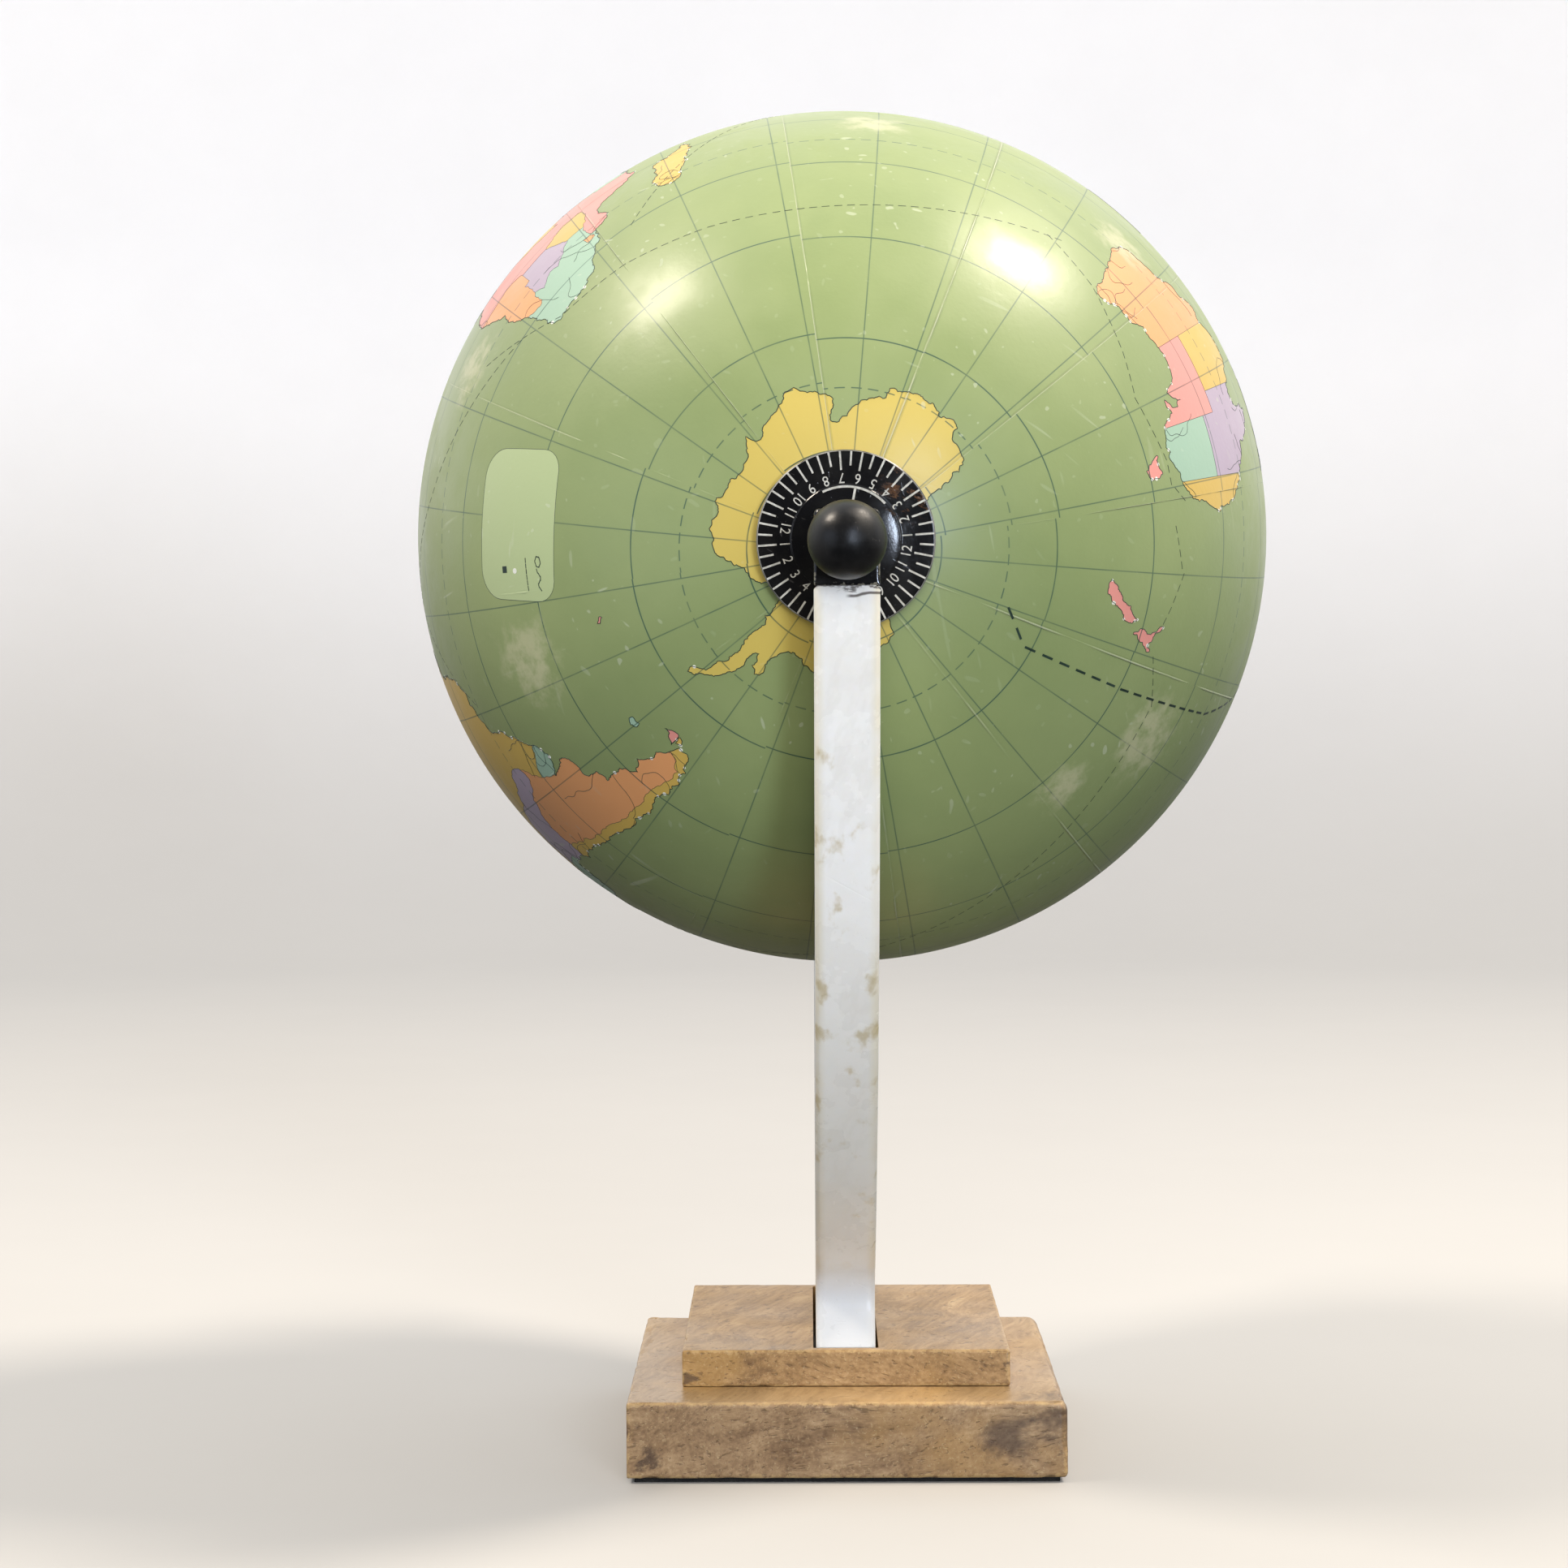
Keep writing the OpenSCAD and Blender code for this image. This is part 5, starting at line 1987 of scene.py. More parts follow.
NORTHERN_ISLANDS = outlines("""
    -5.5,50.1 1.3,51.2 1.5,52.8 0,53.5 -2,55.8 -2,57.5 -5,58.6 -6,56.5 -3,54.5 -4.8,53.3 -5,51.7 -3,51.3 |
    -6.3,52.2 -6,54.5 -8,55.3 -10,54 -10,51.7 | -22.5,64 -18.5,63.5 -13.7,65 -16,66.5 -22,66.3 | 12,78.5 17,76.7
    24,78.5 22,80.3 14,79.8 | 52,71 57,70.7 60,74.5 68.5,76.8 62,76.3 55,74 | 130.2,33.3 130.5,31.3 131.7,32.8
    134,34.2 136,33.6 138.8,34.7 140.8,35.6 141.8,39.5 140.8,41.3 139.8,39 137,37 133,35.4 130.9,34.2 | 140,41.7
    143.2,42 145.3,43.4 141.8,45.3 | 142,46 143.3,49.5 142.8,54.2 142,50 | 79.8,8.5 80.4,6 81.8,7.2 80.5,9.7 |
    120.2,16.2 120.8,13.9 124,13 122,17 121,18.5 | 122,7 125.5,5.8 126.5,8 125.3,9.7 123.3,8.6 | 95.4,5.5
    98.5,3.8 103.5,-0.5 106,-3 105.8,-5.8 102,-4 98.7,1.5 | 105.3,-6.8 108.5,-6.7 114.4,-7.7 114.4,-8.7 108,-7.8
    | 109,1.5 111.4,2.4 115,5 117,7 119.2,5.2 117.7,3.3 118.8,1 116.5,-1.5 116,-4 111,-3 109.5,-0.5 | 119.5,-5.5
    119.2,-2 120,1 125,1.5 121,0.4 123.3,-0.8 121.5,-2 122.8,-4.6 120.8,-3.5 120.5,-5.6 | 131,-0.8 134,-0.9
    135,-3.3 138,-1.7 141,-2.6 145.5,-4.5 147.8,-6.3 150.8,-10.5 147,-9.3 143,-9.1 138.5,-8.3 138,-5.8 133,-4 |
    -43.5,60 -40,64.5 -32,68 -22,70.5 -19,75 -12,81.5 -33,83.5 -60,82 -68,78.5 -68,76 -58,75.5 -54,71 -53.5,67
    -48.5,61 | -65,62 -72,64 -78,65.5 -73,68 -85,71 -89,72.5 -81,73.7 -72,71.3 -62,66.5 -68,66 | -117,69
    -106,68.8 -105,72.5 -115,73.2 -117,70.8 | -90,76.5 -79,76.3 -76,79 -62,82.5 -82,83 -92,81.3 -86,79.5 |
    -59.2,47.7 -53,46.8 -53.5,49 -55.8,51.5 | -84.8,22 -80.5,23.1 -74.3,20.2 -77.6,19.9 -82,22.3 | -74.3,18.4
    -71,17.8 -68.5,18.5 -70,19.8 -73.3,19.8""", 3.6)
INLAND_SEA = outline("49,46.5 53,46.5 53.5,42 52.8,40 54,37 50,37.4 49.3,40.5 47.5,43.5", 3.6)

# Borders run a little past the coasts; what lies in the sea isn't drawn
SOUTHERN_BORDERS = outlines("""
    13.5,-18 16,-18.2 19,-18 23.2,-19.5 23.2,-24 22.1,-24.2 22.2,-31.5 21.8,-32 20,-31.9 18.5,-31.2 | 23.2,-20
    28,-20 29,-21.5 31,-24.2 29.5,-26.5 27.5,-28.5 25.8,-28 23.8,-29.8 22.1,-28.5 | 28,-20 29.5,-19 32,-17
    34.5,-17.2 35.2,-19 34.8,-22.5 34,-24.3 31,-24.2 | 34,-24.3 33.6,-25.5 34.2,-28.2 36,-28.4 | 34.5,-17.2
    34.5,-15 36,-12 | 23.2,-19.5 24.5,-18.5 24.5,-10 | 132.4,-17 132.4,-29.8 132.4,-38 | 132.4,-29.8 144.7,-29.8
    144.7,-33 154.1,-33 | 141.4,-18.5 141.4,-29.8 | 144.7,-33 144.7,-44 | 154.1,-24 154.1,-43.5 | 295.5,-21.5
    295,-24 294.8,-27 293.7,-29 293.3,-31.5 293.4,-33.5 292.9,-36 292.3,-38 291.7,-41 291.2,-44 291.5,-46
    291,-48 289.8,-50 289.5,-52 290.8,-52.5 291.2,-53.4 295,-53.6 | 295.5,-21.5 297,-21 299,-20.8 300.5,-21.2
    302,-22.5 304,-24 305,-26 306.5,-27.3 308.5,-26.5 306.3,-29.8 305.5,-31 | 299,-20.8 301,-19 303.5,-17.5
    305.5,-19 308,-22 309,-24 308.5,-26.5 | 305.5,-31 307,-31.5 308.5,-32.8 310,-33.5 311,-34.5 | 305.5,-31
    305.3,-32 304.8,-34.8 | 292,-21 295.5,-21.5""")
NORTHERN_BORDERS = outlines("""
    -123.5,49 -95,49 -89,48 -84.5,46.5 -82.5,42.5 -79,43 -75,45 -71,45.2 -69,47.3 -66.5,44.5 | -141,70.5
    -141,60.2 -137,58.9 -130,55.2 | -117.8,32.5 -111,31.3 -106.5,31.7 -103,29 -99.5,27.5 -96.8,25.9 | -92.5,14
    -91.5,17.2 -88,17.5 | -90,13.3 -88,16.2 | -88,12.8 -82.8,15.2 | -86,11 -83,10.8 | -78,6.8 -77,9.2 |
    -71.3,12.8 -72.3,9 -70,7 -67.5,6 -67,1.2 | -67,1.2 -64,2 -60,5 -60.5,9 | -60,5 -56,2 -51,4.6 | -67,1.2
    -69.5,-4 -75,0.2 -79.5,1.8 | -75,0.2 -78,-4.5 -82,-3.6 | -69.5,-4 -73,-8 -70,-11 | -70,-11 -69.3,-15 -70,-18
    -73,-18.5 | -70,-11 -65.5,-10.5 -60,-15 -58,-19.5 | -70,-18 -68.5,-20 -67.5,-22.5 | -2,35.5 -1.5,32
    -8.6,28.7 -13.5,27.6 | -8.6,28.7 -8.6,27.2 -12,23.4 -17.3,20.9 | -8.6,27.2 -5,25 3,19.2 | 3,19.2 11.8,23.5
    10,30 8.5,33.5 8.4,37.6 | 10,30 11.5,33.3 | 11.8,23.5 15,23 24,19.5 | 25,32 25,22 24,19.5 | 25,22 37,22 |
    24,19.5 22,13 24,9 | 38.8,18 36,14 34,10 35,5 | 3,19.2 4,15.5 0.5,14.5 2.5,12 | 3.6,11.7 8,13 13.5,13.7
    15.5,17 15,23 | 8.5,4 10.5,7 14.3,12.7 | 14.3,12.7 15.5,8 22,11 24,9 | 14.5,4 18.5,4.5 24,5 27.4,5 | 24,9
    27.4,5 31,3.7 35,5 | 35,5 41.5,3.9 47,8 43,11 | 41,4 41.3,-2.4 | 34,4 34,-1 39.5,-4.8 | 31,3.7 29.5,-1.5
    29,-4.5 29.5,-8.4 | 29.5,-8.4 33,-9.4 35,-11.6 41,-10.6 | 29.5,-1 34,-1 | 12,-6 16.5,-6 20,-7.2 22,-11
    24,-11 | 24,-11 28,-12.5 28.5,-9 29.5,-8.4 | 9,1 13.5,2 14.5,-1 11.5,-4.2 | 9.5,2.2 16.2,2.2 14.5,4 |
    18.5,4.5 17.5,0.3 16,-4.5 12.2,-5.8 | -3,4.6 -2.8,10 | -11.8,6.6 -8.5,8.5 -8,10 -5.5,10.5 -2.8,10 0,11
    3.6,11.7 2.7,6 | -17,12.6 -12,12.3 -8,10 | -12,14.8 -5.5,15.3 -5,25 | -17,16.3 -12,14.8 -12,12.3 | -2.5,43.5
    3.5,42.3 | -9,42 -6.5,41.5 -7.3,36.7 | 2.5,51.2 6,49.5 8,48.8 7.5,47.5 6.8,46 7.6,43.6 | 14.3,54.2 14.8,51
    12.5,50.2 13.7,48.7 13,47.5 7.5,47.5 | 7,45.9 10.5,46.8 13.7,46.5 13.7,45.4 | 19.8,54.7 23.8,54 23.6,51.5
    24,50.5 22.6,49.1 18.8,49.5 14.8,51 | 22.6,49.1 22,48 20.3,46 16.5,46.5 13.7,46.5 | 20.3,46 22.5,44
    28.8,43.7 | 22.6,49.1 26.5,48.2 28.2,45.5 30.5,45.2 | 19.6,39.7 22.8,41.3 26.4,41.8 26.3,40.3 | 23.6,51.5
    31.8,52.1 35,50.3 39.8,49.6 38.2,46.6 | 31.8,52.1 31,55 28,56.2 27.5,59.8 | 23.8,54 28,56.2 | 28,59.9
    31.5,62.8 29.5,66 28.5,69.8 31,70.8 | 11.2,58.7 12.3,62.5 15.5,66.3 20,69 28.5,69.8 | 20,69 23.8,65.4 |
    8,54.9 10.9,54.9 | 49,46.2 47,48.5 51,51.5 61,51 61.5,54 71,54.3 77,53.5 80,51 87.3,49.2 | 87.3,49.2 98,50.5
    98.5,52 107,49.8 116.7,49.8 120,53.3 127.5,50 131,47.7 134.7,48.3 131,44.8 130.6,42 | 87.3,49.2 91,45.2
    97,42.8 105,41.6 111.5,43.6 116.5,46.5 116.7,49.8 | 87.3,49.2 82.5,45.3 80.2,42 | 52.9,41.8 56,41.3 56,45
    61,44.3 66.5,42 70,42 80.2,42 | 53.5,37.3 61.2,36.6 66.5,37.4 71.5,37 74.8,37.3 80.2,42 | 56,41.3 60,42
    62,39.8 66.5,37.4 | 61.2,36.6 61,31 61.8,24.8 | 61,29.8 66.3,29.9 69.5,33.5 71.5,36.8 | 68,23.4 71,25.8
    71,28 74.5,31 74,34.5 76.5,35.8 74.8,37.3 | 76.5,35.8 79,32.5 81,30.2 88,28 92,27.8 97.3,28.2 | 80.2,28.8
    88.1,26.5 88,28 | 89,21.2 88.2,25.8 92,25 92.3,21 | 92.3,21.3 93.2,24 97.3,28.2 | 97.3,28.2 98.5,24.2
    100.2,20.3 97.7,18 99,13 98,9.7 | 98.5,24.2 101.5,22.3 105.3,23.2 108.6,21.2 | 100.2,20.3 102.3,18 105,16.5
    105.3,14.4 102.5,13.8 102.6,11.5 | 101.5,22.3 105,19 107.5,15.5 107.5,12 104.5,10 | 105.3,14.4 107.5,14.6 |
    100,6.5 102.5,6.2 | 124,39.8 128,42 131,42.3 | 126,37.7 129,38.6 | 48.5,29.6 46,33 46,35.5 44.7,37.2
    44.5,39.6 49.5,38.3 | 35.7,36.2 40,37 44.7,37.2 | 41.2,41.3 44.5,39.6 | 39.2,43.5 44,42.7 49,41.6 | 35,33
    39,32.2 41,34.5 42.3,37.1 | 34.8,29.4 37.5,31.3 39,32.2 44.7,29.2 48.8,28.4 | 42.3,16.6 48,18 52,19
    53.6,15.8 | 52,19 55.2,22.7 51.3,24.8 | 55.2,22.7 56.5,26 | 108.6,1.7 112.5,1 115.5,2.5 115.5,4.3 118.6,4.1
    | 141,-1.8 141,-9.6""", 3.6)

CONTINENTS = (AFRICA, SOUTH_AMERICA, ANTARCTICA, AUSTRALIA, EURASIA, NORTH_AMERICA)

# A spot in each country, by tint
COUNTRIES = {
    Tint.STRAW: outline("0,-85"),
    Tint.YELLOW: outline("50,-22 30,-21 139,-25 155,-30 292,-33 315,-15 292.8,-56") + outline("""
        -100,40 -152,65 -85,12.8 17,27 23,-3 -3,17 46.5,6 45,24 10,51 8,9.5 -14.5,14 60,62 122,16
        -20,65 -69,-10 66,40 -1,8 121.5,14 144.5,-6""", 3.6),
    Tint.ORANGE: outline("19,-24 124,-30 298,-30 33.5,-28.9") + outline("""
        -102,24 -6,32 9,17.5 30,15 -4,40 19,52 10,61 33,39 11.5,-1 -5.5,7.5 78,22 138,-4 -80,22 -65,7
        115,47 141,43.5 53,-34 102,15 31,49""", 3.6),
    Tint.MINT: outline("27,-33 150,-38 307.5,-33.5 303,-53.3") + outline("""
        -80,8.4 -40,72 29,26.5 18.5,15 34.5,-6 15,0.5 15,60 67,48 68,28 -8,53 114,-1 -1.5,12.5 8,46.8
        25,46 127,37.5 -77,-9 -74,4 107,20 47,42""", 3.6),
    Tint.LILAC: outline("26,-24 149,-27 304.5,-21 298,-17") + outline("""
        -86.5,14.8 -10.5,20 39.5,8.5 -8,39.5 26,63 103,46.5 54,33 12.5,5.5 9.5,34.5 120,-2 96,20 -71,19
        2,47 12,49.5 -56,4 -75,79 106,13""", 3.6),
    Tint.PINK: outline("138,-33 151,-47 182,-46.5 176,-53 295,-56.2 325.5,-56.5 33,-15") + outline("""
        -100,56 -84,10 3,28 38,0.5 20.5,6.8 12,43 137,36 -3,53 43.5,33 103,-1 145,49 88,27 -10,10.5 48,15
        -70,70 -111,71 -56,49 15,79 60,73 -79,-1.5 22,42 109,-7.3 28,53""", 3.6),
    Tint.SALMON: outline("28,-15") + outline("101,4.5 57,22 -90.5,15.5 37,34 81,7.5", 3.6),
    Tint.PALE: outline("17,-14 35,-23") + outline("105,31 -14,24.5 -9.5,6.5 125,8 21,39 99,24", 3.6),
}
DATE_LINE = outline("187.7,-67.6 194.6,-63.9 192,-46.4 189.4,-25 183.6,-5 183.6,48 174,53 190,64 190,72")
SEA_ROUTES = outlines("""
    108,-37 118,-39.5 130,-43.5 138,-45.8 146,-44.8 150,-44 154,-44 158,-41 | 10,-28 22,-38 35,-40 50,-42.5
    110,-36 | 162,-43.8 170,-42 176,-43.5 180,-44.5 | 185,-43.8 192,-40 250,-20 280,-5 | 15,-33 350,-20 335,-5 |
    40,-33 60,-12 75,8 | 320,-24 345,5 350,30 | 290,42 330,50 355,50""")


def direction(lon: float, lat: float) -> Vector:
    """The direction of a longitude and latitude in the globe's axes."""
    a, b = radians(lon), radians(lat)
    return Vector((cos(a) * cos(b), sin(a) * cos(b), sin(b)))


def sides(face: Sequence[int]) -> list[Edge]:
    """The edges of a face, each with its lower vertex first."""
    return [(min(edge), max(edge)) for edge in zip(face, (*face[1:], face[0]))]


@dataclass
class GlobePlan:
    """Where longitudes and latitudes lie on the globe."""

    frame: Frame
    up_lon: float = 73.5
    print_up_lon: float = 69.9
    print_drop: float = 1.2

    def _axes(self, up_lon: float, drop: float) -> Matrix:
        """Axes with X to longitude 0, Y to longitude 90 and Z to the north.

        Args:
            up_lon: The longitude on top.
            drop: How far the poles lie off the rod.

        Returns:
            The axes.
        """
        tilt = Matrix.Rotation(radians(drop), 3, "X")
        north, up = tilt @ self.frame.north, tilt @ self.frame.up
        across, turn = north.cross(up), radians(up_lon)
        zero, east = up * cos(turn) - across * sin(turn), up * sin(turn) + across * cos(turn)
        return Matrix((zero, east, north)).transposed()

    @cached_property
    def axes(self) -> Matrix:
        """Axes of the globe's own longitudes and latitudes."""
        return self._axes(self.up_lon, 0.0)

    @cached_property
    def print_axes(self) -> Matrix:
        """Axes of the printed graticule, whose poles lie a little off the rod."""
        return self._axes(self.print_up_lon, self.print_drop)

    def place(self, way: Vector, radius: float) -> Vector:
        """A direction of the globe as a place in the frame."""
        return self.frame.centre + (self.axes @ way) * radius


class Line(Enum):
    """What a line of the map parts."""

    COAST = "coast"
    BORDER = "border"
    FRAME = "frame"


@dataclass
class MapLine:
    """A line of the map, roughened to the way a coast or a river runs."""

    kind: Line
    points: list[Point]
    closed: bool = True
    depth: float = 0.13
    step: float = 0.32
    past: float = 0.35
    path: list[Vector] = field(init=False)

    def __post_init__(self) -> None:
        """Works out the path, with a vertex where it crosses the equator."""
        rng = random.Random(len(self.points) * 131 + round(self.points[0][0] * 10))
        ends = self.points[1:] + self.points[:1] if self.closed else self.points[1:]
        path: list[Vector] = []
        for a, b in zip(self.points, ends):
            if self.kind is Line.BORDER and (a[0] == b[0] or a[1] == b[1]):
                count = ceil(max(abs(b[0] - a[0]), abs(b[1] - a[1])) / self.step)
                path += [direction(a[0] + (b[0] - a[0]) * i / count, a[1] + (b[1] - a[1]) * i / count)
                         for i in range(count)]
            else:
                path += [direction(*a), *self._between(direction(*a), direction(*b), rng)]
        path.append(path[0] if self.closed else direction(*self.points[-1]))
        if self.kind is Line.BORDER:
            path = [self._beyond(path[1], path[0]), *path, self._beyond(path[-2], path[-1])]
        self.path = path[:1]
        for a, b in zip(path, path[1:]):
            if a.z * b.z < 0:
                cross = (a * abs(b.z) + b * abs(a.z)).normalized()
                cross.z = 0.0
                self.path.append(cross)
            self.path.append(b)

    def _beyond(self, inner: Vector, end: Vector) -> Vector:
        """A place a little beyond the end of a border, so that the border meets its neighbour."""
        return (end + (end - inner).normalized() * radians(self.past)).normalized()

    def _between(self, a: Vector, b: Vector, rng: random.Random) -> list[Vector]:
        """Points between two others, each moved sideways by chance.

        Args:
            a: The first.
            b: The last.
            rng: Where chance comes from.

        Returns:
            The points between.
        """
        if a.angle(b) < radians(self.step):
            return []
        middle = (a + b).normalized()
        side = middle.cross(b - a) * rng.gauss(0.0, self.depth)
        middle = (middle + side).normalized()
        return [*self._between(a, middle, rng), middle, *self._between(middle, b, rng)]


@dataclass
class MapHalf:
    """One half of the map as triangles that follow its lines."""

    pole: int
    lines: list[MapLine]
    rim: list[float]
    hole: float
    cell: float = 1.5
    clear: float = 0.5
    hole_sides: int = 64
    spots: list[Vector] = field(init=False)
    faces: list[tuple[int, ...]] = field(init=False)
    region: list[int] = field(init=False)
    fence: dict[Edge, int] = field(default_factory=dict)
    beside: dict[Edge, list[int]] = field(default_factory=dict)
    tree: kdtree.KDTree = field(init=False)
    shades: list[Colour | None] = field(init=False)
    coasts: list[Edge] = field(default_factory=list)
    borders: list[Edge] = field(default_factory=list)

    def __post_init__(self) -> None:
        """Makes the triangles and finds the regions that the lines part."""
        flat: list[Point] = []
        edges: list[Edge] = []
        kinds: list[int] = []
        count, lat = self.hole_sides, self.pole * (90 - self.hole)
        kept: list[Vector] = [direction(360 * i / count, lat) for i in range(count)]

        def add_run(run: Sequence[Vector], kind: int = -1) -> None:
            """Adds a run of points with its edges.

            Args:
                run: The points.
                kind: Number of the line, or -1 for a closed edge of the sheet.
            """
            first, last = len(flat), len(flat) + len(run) - 1
            flat.extend(self._flat(spot) for spot in run)
            made = [(i, i + 1) for i in range(first, last)] + ([(last, first)] if kind < 0 else [])
            edges.extend(made)
            kinds.extend([kind] * len(made))

        add_run([heading(turn).to_3d() for turn in self.rim])
        add_run(kept)
        for number, line in enumerate(self.lines):
            run: list[Vector] = []
            for spot in [*line.path, None]:
                inside = spot is not None and spot.z * self.pole >= 0
                if inside:
                    run.append(spot)
                if not inside or spot.z == 0.0:
                    if len(run) > 1:
                        add_run(run, number)
                        kept.extend(run)
                    run = [spot] if inside else []
        self._fill(flat, kept)
        verts, out_edges, faces, _, sources, _ = geometry.delaunay_2d_cdt(
            [Vector(p) for p in flat], edges, [], 0, 1e-7)
        self.spots = [self._lifted(vert) for vert in verts]
        limit = tan(radians(self.hole) / 2) * 0.999
        self.faces = [tuple(face) for face in faces
                      if (sum((verts[i] for i in face), Vector((0.0, 0.0))) / len(face)).length > limit]
        for edge, source in zip(out_edges, sources):
            numbers = [kinds[s] for s in source if s < len(kinds)]
            if numbers:
                self.fence[(min(edge), max(edge))] = max(numbers)
        self._find_regions()
        self.tree = self._tree([self.middle(f) for f in range(len(self.faces))])

    def _flat(self, spot: Vector) -> Point:
        """A direction on the flat sheet, seen from the other pole."""
        return (spot.x / (1 + self.pole * spot.z), spot.y / (1 + self.pole * spot.z))

    def _lifted(self, flat: Vector) -> Vector:
        """A place of the flat sheet as a direction."""
        square = flat.length_squared
        return Vector((2 * flat.x, 2 * flat.y, self.pole * (1 - square))) / (1 + square)

    @staticmethod
    def _tree(spots: Sequence[Vector]) -> kdtree.KDTree:
        """A tree that finds the nearest of some spots.

        Args:
            spots: The spots.

        Returns:
            The tree.
        """
        tree = kdtree.KDTree(len(spots))
        for i, spot in enumerate(spots):
            tree.insert(spot, i)
        tree.balance()
        return tree

    def _fill(self, flat: list[Point], kept: Sequence[Vector]) -> None:
        """Adds even points between the lines.

        Args:
            flat: The points of the flat sheet, which grow.
            kept: The directions that the new points keep clear of.
        """
        tree = self._tree(kept)
        rings = int((89 - self.hole) / self.cell)
        for k in range(1, rings + 1):
            colat = self.hole + (90 - self.hole) * k / (rings + 1)
            count = max(12, round(360 * sin(radians(colat)) / self.cell))
            for i in range(count):
                spot = direction(360 * (i + 0.5 * (k % 2)) / count, self.pole * (90 - colat))
                if tree.find(spot)[2] > radians(self.clear):
                    flat.append(self._flat(spot))

    def _find_regions(self) -> None:
        """Numbers the regions by walking over every edge that isn't a line."""
        for f, face in enumerate(self.faces):
            for side in sides(face):
                self.beside.setdefault(side, []).append(f)
        self.region = [-1] * len(self.faces)
        number = -1
        for start in range(len(self.faces)):
            if self.region[start] < 0:
                number += 1
                front = [start]
                while front:
                    f = front.pop()
                    self.region[f] = number
                    for side in sides(self.faces[f]):
                        if side not in self.fence:
                            front += [other for other in self.beside[side] if self.region[other] < 0]

    def middle(self, face: int) -> Vector:
        """Middle of a face as a direction."""
        return sum((self.spots[i] for i in self.faces[face]), Vector()).normalized()

    def largest(self) -> dict[int, int]:
        """Finds the largest face of each region.

        Returns:
            A face for each region.
        """
        best: dict[int, tuple[float, int]] = {}
        for f, face in enumerate(self.faces):
            a, b, c = (self.spots[i] for i in face)
            size = (b - a).cross(c - a).length
            if size > best.get(self.region[f], (0.0, 0))[0]:
                best[self.region[f]] = (size, f)
        return {region: f for region, (_, f) in best.items()}

    def inside(self, spot: Vector, line: MapLine) -> bool:
        """Tells whether a line of the map goes round a place.

        Args:
            spot: The place.
            line: A closed line.

        Returns:
            Whether it does.
        """
        if all(p.z * self.pole < 0 for p in line.path):
            return False
        x, y = self._flat(spot)
        ring = [self._flat(p) for p in line.path if 1 + self.pole * p.z > 1e-6]
        held = False
        for (x1, y1), (x2, y2) in zip(ring, ring[1:] + ring[:1]):
            if (y1 > y) != (y2 > y) and x < (x2 - x1) * (y - y1) / (y2 - y1) + x1:
                held = not held
        return held


# ---- globe


